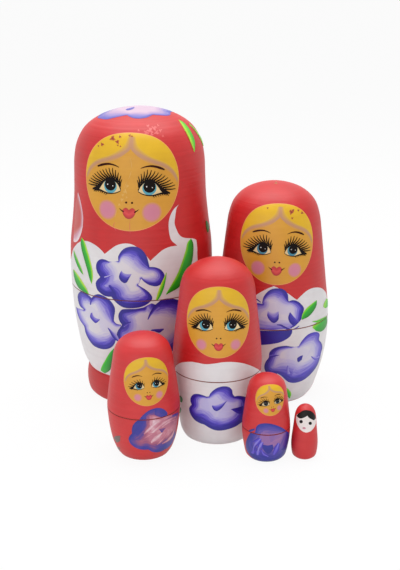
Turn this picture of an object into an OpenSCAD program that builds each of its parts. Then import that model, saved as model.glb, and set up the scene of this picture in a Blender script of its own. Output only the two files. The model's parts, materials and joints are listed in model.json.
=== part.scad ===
// Matryoshka: six turned wooden dolls that nest in each other, standing in a group.
// Five are hollow and open at a spigot and socket joint, and the smallest is solid.

/* [Largest doll] */
// Height of the largest doll
doll_1_height = 149; // [130:0.5:180]
// Widest diameter of the largest doll
doll_1_girth = 73; // [68:0.5:84]
// Height of the seam where the largest doll opens
doll_1_seam = 60; // [50:0.5:70]
// Thickness of the largest doll's side wall
doll_1_wall = 4; // [3:0.1:5]
// Thickness of the largest doll's floor
doll_1_floor = 10; // [6:0.1:14]
// Thickness of the wood over the largest doll's cavity, at the crown
doll_1_crown = 6; // [4:0.1:10]
// Height of the largest doll's spigot
doll_1_spigot = 9; // [6:0.5:14]
// Height of the turned foot under the largest doll
foot_height = 14.5; // [10:0.5:20]
// How far the foot's belly stands out beyond the waist above it
foot_belly = 1.4; // [0.6:0.1:2.5]
// How far the foot's underside draws in from the waist above it
foot_draw = 0.8; // [0.2:0.1:2]

/* [Second doll] */
// Height of the second doll
doll_2_height = 112.5; // [104:0.5:122]
// Widest diameter of the second doll
doll_2_girth = 58.4; // [54:0.2:62]
// Height of the seam where the second doll opens
doll_2_seam = 43.8; // [38:0.2:52]
// Thickness of the second doll's side wall
doll_2_wall = 3.4; // [2.6:0.1:4.4]
// Thickness of the second doll's floor
doll_2_floor = 6; // [4:0.1:9]
// Thickness of the wood over the second doll's cavity, at the crown
doll_2_crown = 5; // [3:0.1:8]
// Height of the second doll's spigot
doll_2_spigot = 7.5; // [5:0.5:12]
// Gap between the second doll and the largest doll
doll_2_gap = 2.3; // [0.5:0.1:10]
// Direction from the largest doll to the second doll
doll_2_bearing = -4; // [-20:1:20]

/* [Third doll] */
// Height of the third doll
doll_3_height = 87.5; // [80:0.5:95]
// Widest diameter of the third doll
doll_3_girth = 42.6; // [40:0.2:46]
// Height of the seam where the third doll opens
doll_3_seam = 34.2; // [28:0.2:40]
// Thickness of the third doll's side wall
doll_3_wall = 2.8; // [2.2:0.1:3.4]
// Thickness of the third doll's floor
doll_3_floor = 5; // [3:0.1:7]
// Thickness of the wood over the third doll's cavity, at the crown
doll_3_crown = 4; // [2.5:0.1:6]
// Height of the third doll's spigot
doll_3_spigot = 6; // [4:0.5:9]
// Gap between the third doll and the second doll
doll_3_gap = 6.6; // [0.5:0.1:14]
// Direction from the second doll to the third doll
doll_3_bearing = -121; // [-130:1:-110]

/* [Fourth doll] */
// Height of the fourth doll
doll_4_height = 58; // [53:0.5:63]
// Widest diameter of the fourth doll
doll_4_girth = 33.6; // [31:0.2:36]
// Height of the seam where the fourth doll opens
doll_4_seam = 22.9; // [19:0.1:27]
// Thickness of the fourth doll's side wall
doll_4_wall = 2.4; // [2:0.1:3]
// Thickness of the fourth doll's floor
doll_4_floor = 4; // [2.5:0.1:6]
// Thickness of the wood over the fourth doll's cavity, at the crown
doll_4_crown = 3.4; // [2.2:0.1:5]
// Height of the fourth doll's spigot
doll_4_spigot = 4.6; // [3:0.2:7]
// Gap between the fourth doll and the third doll
doll_4_gap = 1.4; // [0.5:0.1:8]
// Direction from the third doll to the fourth doll
doll_4_bearing = -150; // [-160:1:-140]

/* [Fifth doll] */
// Height of the fifth doll
doll_5_height = 40; // [37:0.5:44]
// Widest diameter of the fifth doll
doll_5_girth = 22.2; // [20.6:0.2:24]
// Height of the seam where the fifth doll opens
doll_5_seam = 15; // [12.5:0.1:18]
// Thickness of the fifth doll's side wall
doll_5_wall = 2; // [1.6:0.1:2.4]
// Thickness of the fifth doll's floor
doll_5_floor = 3; // [2:0.1:4.5]
// Thickness of the wood over the fifth doll's cavity, at the crown
doll_5_crown = 2.8; // [2:0.1:4]
// Height of the fifth doll's spigot
doll_5_spigot = 3.4; // [2.4:0.2:5]
// Gap between the fifth doll and the third doll
doll_5_gap = 0.9; // [0.5:0.1:8]
// Direction from the third doll to the fifth doll
doll_5_bearing = -48; // [-60:1:-38]

/* [Smallest doll] */
// Height of the smallest doll
doll_6_height = 26; // [23:0.2:29]
// Widest diameter of the smallest doll
doll_6_girth = 12.2; // [11:0.2:13.4]
// Gap between the smallest doll and the fifth doll
doll_6_gap = 0.6; // [0.3:0.1:6]
// Direction from the fifth doll to the smallest doll
doll_6_bearing = -6; // [-20:1:20]

/* [Joint] */
// Room all round between a spigot and its socket
fit_clearance = 0.08; // [0.02:0.01:0.1]
// Room between the end of a spigot and the bottom of its socket
end_clearance = 0.3; // [0.1:0.05:0.6]
// Bevel on both edges of the seam and on the spigot's end
seam_bevel = 0.25; // [0.1:0.05:0.4]
// Radius of the round at the bottom of each bowl
bowl_round = 3; // [1.5:0.1:5]

/* [Hidden] */

$fn = 96;
// Chords that draw each stretch of an outline, and the round of a bowl
curve_steps = 4;
round_steps = 6;
// Part of a wall that the socket takes from the outside of the spigot
socket_share = 0.5;

lacquer_red = "#c93c40";
apron_white = "#dedadc";

// Outlines from the table up: height as a share of the doll's height, radius as a share of half its girth
doll_1_shares = [
    [0.097, 0.785], [0.14, 0.862], [0.2, 0.917], [0.28, 0.964], [0.37, 0.99], [0.47, 1], [0.55, 0.988],
    [0.63, 0.947], [0.71, 0.914], [0.78, 0.902], [0.84, 0.89], [0.89, 0.845], [0.94, 0.72], [0.98, 0.45],
    [1, 0]
];
doll_2_shares = [
    [0, 0.7], [0.03, 0.775], [0.1, 0.862], [0.2, 0.952], [0.33, 1], [0.44, 0.985], [0.56, 0.932],
    [0.68, 0.877], [0.78, 0.83], [0.86, 0.782], [0.92, 0.69], [0.97, 0.47], [1, 0]
];
doll_3_shares = [
    [0, 0.76], [0.03, 0.815], [0.1, 0.866], [0.2, 0.932], [0.32, 0.98], [0.43, 1], [0.56, 0.96],
    [0.68, 0.903], [0.78, 0.85], [0.86, 0.806], [0.92, 0.71], [0.97, 0.46], [1, 0]
];
doll_4_shares = [
    [0, 0.69], [0.03, 0.76], [0.1, 0.858], [0.2, 0.935], [0.32, 0.985], [0.41, 1], [0.56, 0.942],
    [0.68, 0.882], [0.78, 0.826], [0.86, 0.776], [0.92, 0.68], [0.97, 0.46], [1, 0]
];
doll_5_shares = [
    [0, 0.74], [0.03, 0.83], [0.1, 0.895], [0.2, 0.957], [0.33, 1], [0.44, 0.983], [0.56, 0.932],
    [0.68, 0.878], [0.78, 0.828], [0.86, 0.774], [0.92, 0.68], [0.97, 0.47], [1, 0]
];
doll_6_shares = [
    [0, 0.7], [0.04, 0.88], [0.12, 0.96], [0.25, 1], [0.37, 0.978], [0.5, 0.92], [0.62, 0.863],
    [0.72, 0.826], [0.82, 0.77], [0.9, 0.65], [0.96, 0.44], [1, 0]
];
// Outline of the foot: height as a share of its height, belly as a share of how far it stands out,
// and draw as a share of how far it draws in
foot_shares = [[0, 0, 1], [0.1, 0.4, 0], [0.3, 0.9, 0], [0.5, 1, 0], [0.75, 0.8, 0], [1, 0, 0]];

// Height, radius and outline of one doll
function size_of(height, girth, shares) = [
    height,
    girth / 2,
    dome([for (s = shares) [girth / 2 * s[1], height * s[0]]])
];
function height_of(size) = size[0];
function radius_of(size) = size[1];
function outline_of(size) = size[2];

// One tangent of a smooth curve through three points that follow each other
function step_of(a, b) = sqrt(norm(b - a));
function tangent(a, b, c) = (b - a) / step_of(a, b) + (c - b) / step_of(b, c)
    - (c - a) / (step_of(a, b) + step_of(b, c));
// One point of the stretch from b to c, t of the way along it
function between(a, b, c, d, t) = let (
    from = tangent(a, b, c) * step_of(b, c),
    to = tangent(b, c, d) * step_of(b, c)
) b + from * t + (3 * (c - b) - 2 * from - to) * t ^ 2 + (2 * (b - c) + from + to) * t ^ 3;
// Smooth curve through points, which leaves the last one as if it went on to the far point
function curve(points, far) = let (
    last = len(points) - 1,
    run = concat([2 * points[0] - points[1]], points, [far])
) concat([
    for (i = [0 : last - 1], k = [0 : curve_steps - 1])
        between(run[i], run[i + 1], run[i + 2], run[i + 3], k / curve_steps)
], [points[last]]);
// Curve that ends on the axis, and is level there
function dome(points) = let (near = points[len(points) - 2]) curve(points, [-near[0], near[1]]);

// Radius of an outline at a height
function radius_at(outline, z) = lookup(z, [for (p = outline) [p[1], p[0]]]);
// Points of an outline from one height to another
function stretch(outline, low, high) = [for (p = outline) if (p[1] >= low && p[1] < high) p];
function reversed(points) = [for (i = [len(points) - 1 : -1 : 0]) points[i]];

size_1 = size_of(doll_1_height, doll_1_girth, doll_1_shares);
size_2 = size_of(doll_2_height, doll_2_girth, doll_2_shares);
size_3 = size_of(doll_3_height, doll_3_girth, doll_3_shares);
size_4 = size_of(doll_4_height, doll_4_girth, doll_4_shares);
size_5 = size_of(doll_5_height, doll_5_girth, doll_5_shares);
size_6 = size_of(doll_6_height, doll_6_girth, doll_6_shares);
sizes = [size_1, size_2, size_3, size_4, size_5, size_6];

// The foot meets the body's outline at this waist
waist = radius_at(outline_of(size_1), foot_height);
foot_points = [
    for (s = foot_shares) [waist + foot_belly * s[1] - foot_draw * s[2], foot_height * s[0]]
];
foot = curve(foot_points, [waist - foot_belly, foot_height]);

// Each doll stands beside an earlier one, at a gap between their widest girths
function beside(place, from, size, gap, bearing) =
    place + (radius_of(from) + gap + radius_of(size)) * [cos(bearing), sin(bearing)];
place_1 = [0, 0];
place_2 = beside(place_1, size_1, size_2, doll_2_gap, doll_2_bearing);
place_3 = beside(place_2, size_2, size_3, doll_3_gap, doll_3_bearing);
place_4 = beside(place_3, size_3, size_4, doll_4_gap, doll_4_bearing);
place_5 = beside(place_3, size_3, size_5, doll_5_gap, doll_5_bearing);
place_6 = beside(place_5, size_5, size_6, doll_6_gap, doll_6_bearing);
places = [place_1, place_2, place_3, place_4, place_5, place_6];

// Middle of the group's floor box
function middle(axis) = (
    min([for (i = [0 : len(places) - 1]) places[i][axis] - radius_of(sizes[i])])
    + max([for (i = [0 : len(places) - 1]) places[i][axis] + radius_of(sizes[i])])
) / 2;
centre = [middle(0), middle(1)];

module stand(place) {
    translate([place[0] - centre[0], place[1] - centre[1], 0])
        rotate_extrude()
            children();
}

// Lower half: the bowl with its spigot, under the seam. The foot, where there is one, is under the body
module base_half(size, seam, wall, floor, spigot, foot = []) {
    outline = outline_of(size);
    foot_top = len(foot) > 0 ? foot[len(foot) - 1][1] : 0;
    rim = radius_at(outline, seam);
    spigot_radius = rim - wall * socket_share;
    mouth = rim - wall;
    hollow_radius = radius_at(outline, floor + bowl_round) - wall;
    polygon(concat(
        [[0, 0]],
        foot,
        stretch(outline, foot_top, seam - seam_bevel),
        [[radius_at(outline, seam - seam_bevel), seam - seam_bevel], [rim - seam_bevel, seam]],
        [[spigot_radius, seam], [spigot_radius, seam + spigot - seam_bevel]],
        [[spigot_radius - seam_bevel, seam + spigot], [mouth, seam + spigot], [mouth, seam]],
        [for (p = reversed(stretch(outline, floor + bowl_round, seam))) [p[0] - wall, p[1]]],
        [
            for (k = [0 : round_steps])
                [hollow_radius, floor + bowl_round]
                + bowl_round * [cos(90 * k / round_steps) - 1, -sin(90 * k / round_steps)]
        ],
        [[0, floor]]
    ));
}

// Upper half: the head over the seam, with the socket that the spigot fits
module top_half(size, seam, wall, crown, spigot) {
    outline = outline_of(size);
    height = height_of(size);
    rim = radius_at(outline, seam);
    socket_radius = rim - wall * socket_share + fit_clearance;
    socket_end = seam + spigot + end_clearance;
    girth_there = radius_at(outline, socket_end);
    slim = (girth_there - wall) / girth_there;
    squat = (height - crown - socket_end) / (height - socket_end);
    polygon(concat(
        [[socket_radius, seam], [rim - seam_bevel, seam]],
        [[radius_at(outline, seam + seam_bevel), seam + seam_bevel]],
        stretch(outline, seam + seam_bevel, height),
        [[0, height], [0, height - crown]],
        [
            for (p = reversed(stretch(outline, socket_end, height)))
                [slim * p[0], socket_end + squat * (p[1] - socket_end)]
        ],
        [[slim * girth_there, socket_end], [socket_radius, socket_end]]
    ));
}

module doll_1_top() {
    color(lacquer_red)
        stand(place_1)
            top_half(size_1, doll_1_seam, doll_1_wall, doll_1_crown, doll_1_spigot);
}

module doll_1_base() {
    color(apron_white)
        stand(place_1)
            base_half(size_1, doll_1_seam, doll_1_wall, doll_1_floor, doll_1_spigot, foot);
}

module doll_2_top() {
    color(lacquer_red)
        stand(place_2)
            top_half(size_2, doll_2_seam, doll_2_wall, doll_2_crown, doll_2_spigot);
}

module doll_2_base() {
    color(apron_white)
        stand(place_2)
            base_half(size_2, doll_2_seam, doll_2_wall, doll_2_floor, doll_2_spigot);
}

module doll_3_top() {
    color(lacquer_red)
        stand(place_3)
            top_half(size_3, doll_3_seam, doll_3_wall, doll_3_crown, doll_3_spigot);
}

module doll_3_base() {
    color(apron_white)
        stand(place_3)
            base_half(size_3, doll_3_seam, doll_3_wall, doll_3_floor, doll_3_spigot);
}

module doll_4_top() {
    color(lacquer_red)
        stand(place_4)
            top_half(size_4, doll_4_seam, doll_4_wall, doll_4_crown, doll_4_spigot);
}

module doll_4_base() {
    color(lacquer_red)
        stand(place_4)
            base_half(size_4, doll_4_seam, doll_4_wall, doll_4_floor, doll_4_spigot);
}

module doll_5_top() {
    color(lacquer_red)
        stand(place_5)
            top_half(size_5, doll_5_seam, doll_5_wall, doll_5_crown, doll_5_spigot);
}

module doll_5_base() {
    color(lacquer_red)
        stand(place_5)
            base_half(size_5, doll_5_seam, doll_5_wall, doll_5_floor, doll_5_spigot);
}

module doll_6_solid() {
    color(lacquer_red)
        stand(place_6)
            polygon(concat([[0, 0]], outline_of(size_6)));
}

doll_1_top();
doll_1_base();
doll_2_top();
doll_2_base();
doll_3_top();
doll_3_base();
doll_4_top();
doll_4_base();
doll_5_top();
doll_5_base();
doll_6_solid();
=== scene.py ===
"""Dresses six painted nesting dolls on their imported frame: turned wood, lacquer, faces and flowers."""
import json
import math

import bmesh
import bpy
import numpy as np
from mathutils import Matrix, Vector
from mathutils.geometry import delaunay_2d_cdt

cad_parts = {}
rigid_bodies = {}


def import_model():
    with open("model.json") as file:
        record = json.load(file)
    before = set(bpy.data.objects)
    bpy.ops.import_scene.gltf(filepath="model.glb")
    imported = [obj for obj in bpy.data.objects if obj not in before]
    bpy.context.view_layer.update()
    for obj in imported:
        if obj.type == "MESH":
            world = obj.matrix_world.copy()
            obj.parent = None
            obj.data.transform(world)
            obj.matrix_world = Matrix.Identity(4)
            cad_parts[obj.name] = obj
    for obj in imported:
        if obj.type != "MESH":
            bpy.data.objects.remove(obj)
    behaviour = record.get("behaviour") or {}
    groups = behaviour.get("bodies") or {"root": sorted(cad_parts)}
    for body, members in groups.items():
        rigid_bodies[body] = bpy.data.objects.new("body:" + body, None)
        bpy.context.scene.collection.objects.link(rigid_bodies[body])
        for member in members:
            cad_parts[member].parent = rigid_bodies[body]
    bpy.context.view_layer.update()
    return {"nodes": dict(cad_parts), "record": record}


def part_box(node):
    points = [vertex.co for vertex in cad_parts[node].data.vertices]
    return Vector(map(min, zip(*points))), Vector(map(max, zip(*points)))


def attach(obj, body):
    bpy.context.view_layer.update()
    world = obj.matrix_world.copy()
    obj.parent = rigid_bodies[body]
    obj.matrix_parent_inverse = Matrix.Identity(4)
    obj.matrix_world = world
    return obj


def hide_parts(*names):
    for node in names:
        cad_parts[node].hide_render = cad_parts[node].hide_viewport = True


for leftover in list(bpy.data.objects):
    bpy.data.objects.remove(leftover)

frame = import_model()

MM = 0.001

# The camera of the photograph, in the part's frame.
PHOTO = (400, 570)
FOCAL_PX = 955.0
SENSOR_MM = 36.0
NEAREST = 0.01
EYE = np.array((0.0, -0.4477, 0.2162))
LOOK_DOWN = math.radians(18.65)

# Looking along a ray for a doll: even steps first, then halvings of the step that hits.
RAY_STEPS = 240
HALVINGS = 30

# Turned outlines. Points that snap together are one, and points this near a line lie on it.
SNAP = 2e-6
ON_LINE = 3e-5
FLAT_TURN = math.radians(0.2)
CORNER_TURN = math.radians(20.0)
SPLINE_STEPS = 12
SPANS = 3
TURNS = 168
SKIN_STEP = 0.1 * MM
SEAM_ROOM = 0.03 * MM

# Details follow a doll's girth, as a share of the largest doll's and down to a least share.
FULL_GIRTH = 36.5 * MM
LEAST_SHARE = 0.45

# Paint films: height of the first coat, the step to the next one and how deep a film is rooted.
FIRST_LIFT = 0.05 * MM
LIFT_STEP = 0.03 * MM
ROOT = 0.08 * MM
LEAST_LIFT_SHARE = 0.6

# The points of a film: the grid inside it, its distance from the edge, and how near two points may come.
GRID = 1.2 * MM
LEAST_GRID_SHARE = 0.5
CLEAR_SHARE = 0.35
NEAR = 1e-9
CUT_NEAR = 1e-8

# Points per pixel of a brush mark, and the fewest and the most: along it, across it and round an outline.
ALONG_PX, ALONG_POINTS = 0.9, (9, 90)
ACROSS_PX, ACROSS_POINTS = 0.6, (3, 14)
ROUND_PX, ROUND_POINTS = 0.8, (5, 90)

# The thinnest a film gets, in pixels and in the units of the face stencil or the crown, and the points
# across a thin line.
THIN_PX = 0.25
THIN = 0.01
LINE_COLUMNS = 3

# The wavy edge of a spot: the waves round it, and the share of the second ones.
WOBBLE_WAVES, WOBBLE_SHARE = (3, 5), 0.7

# Flowers: spacing of a wash in pixels, its fewest points on a stroke, how many stroke widths it takes
# to fade, and the thinnest stroke that counts.
WASH_STEP = 1.1
WASH_POINTS = 6
FADE = 1.9
THINNEST = 1.2

# Coats of paint, counted up from the lacquer. Films that cross each other lie on coats of their own.
# The coats of the pale glare marks on the largest doll hold painted highlights.
COATS = {
    "apron": 0, "drop": 0, "scuff": 0, "face": 0, "face_rim": 0.4, "hair": 1, "cheek": 1, "ash": 1,
    "crown": 1, "face_glare_spot": 1, "band": 2, "nostril": 2, "lips": 2, "eye": 2, "light": 2, "brow": 3,
    "iris": 3, "mark": 3, "pupil": 4, "crack": 4, "lid": 5, "leaf": 5, "lash": 5.3, "lower_lash": 5.5,
    "glint": 5.5,
}
MARK_RISE, LIGHT_RISE, LASH_RISE, LASH_COATS = 0.4, 0.15, 0.2, 3


def linear(*srgb):
    """An 8-bit sRGB colour as a linear RGBA value."""
    parts = [c / 255.0 for c in srgb]
    return tuple(c / 12.92 if c <= 0.04045 else ((c + 0.055) / 1.055) ** 2.4 for c in parts) + (1.0,)


def run_of(points):
    """Length along a line up to each of its points."""
    steps = np.linalg.norm(np.diff(np.asarray(points, dtype=float), axis=0), axis=1)
    return np.concatenate(([0.0], np.cumsum(steps)))


def spline(points, count):
    """A smooth line through the points, at count places of even spacing."""
    pts = np.asarray(points, dtype=float)
    padded = np.vstack((2 * pts[0] - pts[1], pts, 2 * pts[-1] - pts[-2]))
    t = np.linspace(0.0, 1.0, SPLINE_STEPS, endpoint=False)[:, None]
    fine = []
    for a, b, c, d in zip(padded[:-3], padded[1:-2], padded[2:-1], padded[3:]):
        bend = (2 * a - 5 * b + 4 * c - d) * t ** 2 + (3 * b - a - 3 * c + d) * t ** 3
        fine.append(0.5 * (2 * b + (c - a) * t + bend))
    fine = np.vstack(fine + [pts[-1:]])
    run = run_of(fine)
    places = np.linspace(0.0, run[-1], count)
    return np.stack([np.interp(places, run, column) for column in fine.T], axis=1)


def sideways(points):
    """The direction to the left of a line at each of its points."""
    way = np.gradient(points, axis=0)
    return np.stack((-way[:, 1], way[:, 0]), axis=1) / np.linalg.norm(way, axis=1)[:, None]


def meridian(node):
    """A node's turned outline at rest as (radius, height) points, from its painted end inwards."""
    low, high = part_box(node)
    cx, cy = (low.x + high.x) / 2, (low.y + high.y) / 2
    mesh = frame["nodes"][node].data
    links = {}
    for edge in mesh.edges:
        ends = [mesh.vertices[i].co for i in edge.vertices]
        if any(abs(p.y - cy) > ON_LINE or p.x < cx - ON_LINE for p in ends):
            continue
        a, b = ((round((p.x - cx) / SNAP), round(p.z / SNAP)) for p in ends)
        if a != b:
            links.setdefault(a, set()).add(b)
            links.setdefault(b, set()).add(a)
    tips = [key for key, near in links.items() if len(near) == 1]
    first = (min if node.endswith("base") else max)(tips, key=lambda key: key[1])
    walk, before = [first], None
    while ahead := [key for key in links[walk[-1]] if key != before]:
        before = walk[-1]
        walk.append(ahead[0])
    line = [(max(a * SNAP, 0.0), b * SNAP) for a, b in walk]
    for end in (0, -1):
        if line[end][0] > ON_LINE:
            line.insert(0 if end == 0 else len(line), (0.0, line[end][1]))
        else:
            line[end] = (0.0, line[end][1])
    return np.array(line)


def turn_at(line):
    """How far the line turns at each of its points."""
    step = np.diff(line, axis=0)
    heading = np.arctan2(step[:, 1], step[:, 0])
    bend = np.abs((np.diff(heading) + math.pi) % (2 * math.pi) - math.pi)
    return np.concatenate(([math.pi], bend, [math.pi]))


def rounded(line):
    """The outline as smooth runs between its corners: the points and the places of the corners."""
    line = line[turn_at(line) > FLAT_TURN]
    corners = np.flatnonzero(turn_at(line) > CORNER_TURN)
    out, sharp = [line[:1]], [0]
    for a, b in zip(corners[:-1], corners[1:]):
        run = line[a:b + 1]
        if len(run) > 2:
            run = spline(run, (len(run) - 1) * SPANS + 1)
        out.append(run[1:])
        sharp.append(sharp[-1] + len(run) - 1)
    return np.vstack(out), set(sharp)


class Skin:
    """The painted outside of one doll, by azimuth from the viewer's side and length up its outline."""

    def __init__(self, doll, nodes):
        self.doll = doll
        low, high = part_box(nodes[0])
        self.axis = np.array(((low.x + high.x) / 2, (low.y + high.y) / 2))
        self.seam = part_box(nodes[-1])[0].z
        self.lines = {node: rounded(meridian(node)) for node in nodes}
        self.rims = {node: self.rim(node) for node in nodes}
        sides = []
        for node in nodes:
            painted = self.lines[node][0][:self.rims[node] + 1]
            # A base starts at the middle of its foot, and the other nodes at their crown.
            sides.append(painted[1:] if node.endswith("base") else painted[::-1])
        side = np.vstack(sides)
        run = run_of(side)
        self.m = np.arange(0.0, run[-1], SKIN_STEP)
        self.r = np.interp(self.m, run, side[:, 0])
        self.z = np.interp(self.m, run, side[:, 1])
        slope = np.stack((np.gradient(self.r), np.gradient(self.z)), axis=1)
        slope /= np.linalg.norm(slope, axis=1)[:, None]
        self.nr, self.nz = slope[:, 1], -slope[:, 0]
        self.scale = min(1.0, max(LEAST_SHARE, self.r.max() / FULL_GIRTH))
        self.fine = self.scale ** 0.5

    def rim(self, node):
        """The last outline point that is painted: the edge of the seam, or the foot of a solid doll."""
        line = self.lines[node][0]
        if node.endswith("solid"):
            return len(line) - 2
        return int(np.flatnonzero(np.isclose(line[:, 1], self.seam, atol=ON_LINE))[0]) - 1

    def up(self, height):
        """Length up the outline at a height."""
        return np.interp(height, self.z, self.m)

    def wide(self, m):
        """Radius at a length up the outline."""
        return np.interp(m, self.m, self.r)

    def azimuth(self, points):
        """Azimuth of points in space."""
        return np.arctan2(points[:, 0] - self.axis[0], -(points[:, 1] - self.axis[1]))

    def see(self, pixels):
        """Where the camera sees the doll at these pixels: azimuth and length up the outline."""
        px = np.asarray(pixels, dtype=float).reshape(-1, 2)
        ahead = np.array((0.0, math.cos(LOOK_DOWN), -math.sin(LOOK_DOWN)))
        over = np.array((0.0, math.sin(LOOK_DOWN), math.cos(LOOK_DOWN)))
        ray = ahead * FOCAL_PX + over * (PHOTO[1] / 2 - px[:, 1:])
        ray[:, 0] += px[:, 0] - PHOTO[0] / 2
        ray /= np.linalg.norm(ray, axis=1)[:, None]
        reach = np.linalg.norm(self.axis - EYE[:2])
        near = (reach - 2.0 * self.r.max()) / np.hypot(ray[:, 0], ray[:, 1])
        far = (reach + self.r.max()) / np.hypot(ray[:, 0], ray[:, 1])

        def gap(length):
            at = EYE + ray * length[:, None]
            radius = np.interp(at[:, 2], self.z, self.r, left=0.0, right=0.0)
            return np.hypot(at[:, 0] - self.axis[0], at[:, 1] - self.axis[1]) - radius

        steps = np.stack([near + (far - near) * k / RAY_STEPS for k in range(RAY_STEPS + 1)])
        gaps = np.stack([gap(step) for step in steps])
        hit = gaps < 0
        first = np.where(hit.any(axis=0), hit.argmax(axis=0), gaps.argmin(axis=0))
        column = np.arange(len(px))
        a, b = steps[np.maximum(first - 1, 0), column], steps[first, column]
        for _ in range(HALVINGS):
            mid = (a + b) / 2
            inside = gap(mid) < 0
            a, b = np.where(inside, a, mid), np.where(inside, mid, b)
        at = EYE + ray * b[:, None]
        return np.stack((self.azimuth(at), self.up(at[:, 2])), axis=1)

    def at(self, places):
        """Places given as (azimuth in degrees, height in mm)."""
        p = np.asarray(places, dtype=float)
        return np.stack((np.radians(p[:, 0]), self.up(p[:, 1] * MM)), axis=1)

    def points(self, spots, lift):
        """Points in space, lifted off the skin."""
        phi, m = spots[:, 0], spots[:, 1]
        r = np.interp(m, self.m, self.r) + lift * np.interp(m, self.m, self.nr)
        z = np.interp(m, self.m, self.z) + lift * np.interp(m, self.m, self.nz)
        return np.stack((self.axis[0] + r * np.sin(phi), self.axis[1] - r * np.cos(phi), z), axis=1)

    def normals(self, points):
        """The skin's direction at points in space."""
        phi = self.azimuth(points)
        nr = np.interp(points[:, 2], self.z, self.nr)
        nz = np.interp(points[:, 2], self.z, self.nz)
        return np.stack((nr * np.sin(phi), -nr * np.cos(phi), nz), axis=1)

    def count(self, length, per_pixel, limits):
        """How many points a length in pixels takes: more on a smaller doll, within limits."""
        return int(np.clip(length * per_pixel / self.fine, *limits))


class Sheet:
    """One flat film of paint: spots on the skin, faces, and its tone across and length along."""

    def __init__(self, spots, faces, tone, along):
        self.spots, self.faces, self.tone, self.along = spots, faces, tone, along


def weave(rows, columns):
    """The faces of a grid of points."""
    return [
        (i * columns + j, i * columns + j + 1, (i + 1) * columns + j + 1, (i + 1) * columns + j)
        for i in range(rows - 1)
        for j in range(columns - 1)
    ]


def between_rows(a, b, columns, place, tones=(0.0, 1.0), thin=THIN):
    """A film between two lines of as many points, with its tone running from the first to the second."""
    a, b = np.array(a, dtype=float), np.array(b, dtype=float)
    gap = b - a
    side = sideways(a)
    mostly = np.sign((side * gap).sum())
    for k in np.flatnonzero(np.linalg.norm(gap, axis=1) < thin):
        b[k] = a[k] + side[k] * mostly * thin
    rows = len(a)
    q = np.linspace(0.0, 1.0, columns)
    grid = a[:, None, :] * (1 - q)[None, :, None] + b[:, None, :] * q[None, :, None]
    first, last = (np.broadcast_to(np.asarray(t, dtype=float), rows)[:, None] for t in tones)
    tone = (first + (last - first) * q).ravel()
    along = np.repeat(run_of((a + b) / 2), columns)
    return Sheet(place(grid.reshape(-1, 2)), weave(rows, columns), tone, along)


def between(outer, inner, grid, place, tones=(0.0, 1.0), thin=THIN):
    """A film between two smooth lines, with a grid of so many rows and columns."""
    rows, columns = grid
    return between_rows(spline(outer, rows), spline(inner, rows), columns, place, tones, thin)


def brush(skin, outer, inner, tones=(0.0, 1.0)):
    """A brush mark between two lines of pixels."""
    length = max(run_of(outer)[-1], run_of(inner)[-1])
    fewest = ALONG_POINTS[0]
    wide = np.linalg.norm(spline(outer, fewest) - spline(inner, fewest), axis=1).max()
    rows = skin.count(length, ALONG_PX, ALONG_POINTS)
    columns = skin.count(wide, ACROSS_PX, ACROSS_POINTS) + 1
    return between(outer, inner, (rows, columns), skin.see, tones, THIN_PX)


def tapered(place, path, widths, rows, thin=THIN):
    """A brush line whose width changes along it."""
    mid = spline(path, rows)
    wide = np.interp(np.linspace(0.0, 1.0, rows), np.linspace(0.0, 1.0, len(widths)), widths)
    half = sideways(mid) * wide[:, None] / 2
    return between_rows(mid + half, mid - half, LINE_COLUMNS, place, thin=thin)


def disc(place, centre, radius, rings=3, spokes=24, tones=(0.0, 1.0), wobble=0.0, inner=0.0):
    """A round film with a wavy edge, or a ring where it has an inner radius."""
    turns = np.linspace(0.0, 2 * math.pi, spokes, endpoint=False)
    first, then = (np.sin(waves * turns + start) for waves, start in zip(WOBBLE_WAVES, centre))
    edge = 1.0 + wobble * first + WOBBLE_SHARE * wobble * then
    shares = np.linspace(inner, 1.0, rings + 1)
    spoke = np.stack((np.cos(turns), np.sin(turns)), axis=1) * radius * edge[:, None]
    points = np.vstack([centre + share * spoke for share in shares])
    tone = np.repeat(tones[0] + (tones[1] - tones[0]) * (shares - inner) / (1.0 - inner), spokes)
    faces = [
        (k * spokes + i, (k + 1) * spokes + i, (k + 1) * spokes + j, k * spokes + j)
        for k in range(rings)
        for i, j in zip(range(spokes), (*range(1, spokes), 0))
    ]
    if inner == 0.0:
        # The innermost ring is one point.
        points, tone = points[spokes - 1:], tone[spokes - 1:]
        faces = [tuple(dict.fromkeys(max(v - spokes + 1, 0) for v in quad)) for quad in faces]
    return Sheet(place(points), faces, tone, np.zeros(len(points)))


def fill(flat, place, step):
    """A film inside a closed flat outline."""
    low, high = flat.min(axis=0), flat.max(axis=0)
    xs = np.arange(low[0], high[0], step)
    ys = np.arange(low[1], high[1], step)
    inner = np.stack(np.meshgrid(xs, ys), axis=-1).reshape(-1, 2)
    inside = np.zeros(len(inner), dtype=bool)
    clear = np.full(len(inner), np.inf)
    for p, q in zip(flat, np.roll(flat, -1, axis=0)):
        crosses = (p[1] > inner[:, 1]) != (q[1] > inner[:, 1])
        if crosses.any():
            x = p[0] + (inner[:, 1] - p[1]) * (q[0] - p[0]) / (q[1] - p[1])
            inside ^= crosses & (inner[:, 0] < x)
        way = q - p
        t = np.clip(((inner - p) @ way) / max(way @ way, NEAR ** 2), 0.0, 1.0)
        clear = np.minimum(clear, np.linalg.norm(inner - p - t[:, None] * way, axis=1))
    every = np.vstack((flat, inner[inside & (clear > CLEAR_SHARE * step)]))
    ring = list(range(len(flat)))
    verts, _, faces, _, _, _ = delaunay_2d_cdt([Vector(p) for p in every], [], [ring], 1, NEAR)
    spots = place(np.array([tuple(v) for v in verts]))
    return Sheet(spots, [tuple(f) for f in faces], np.zeros(len(spots)), spots[:, 1] / MM)


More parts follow.
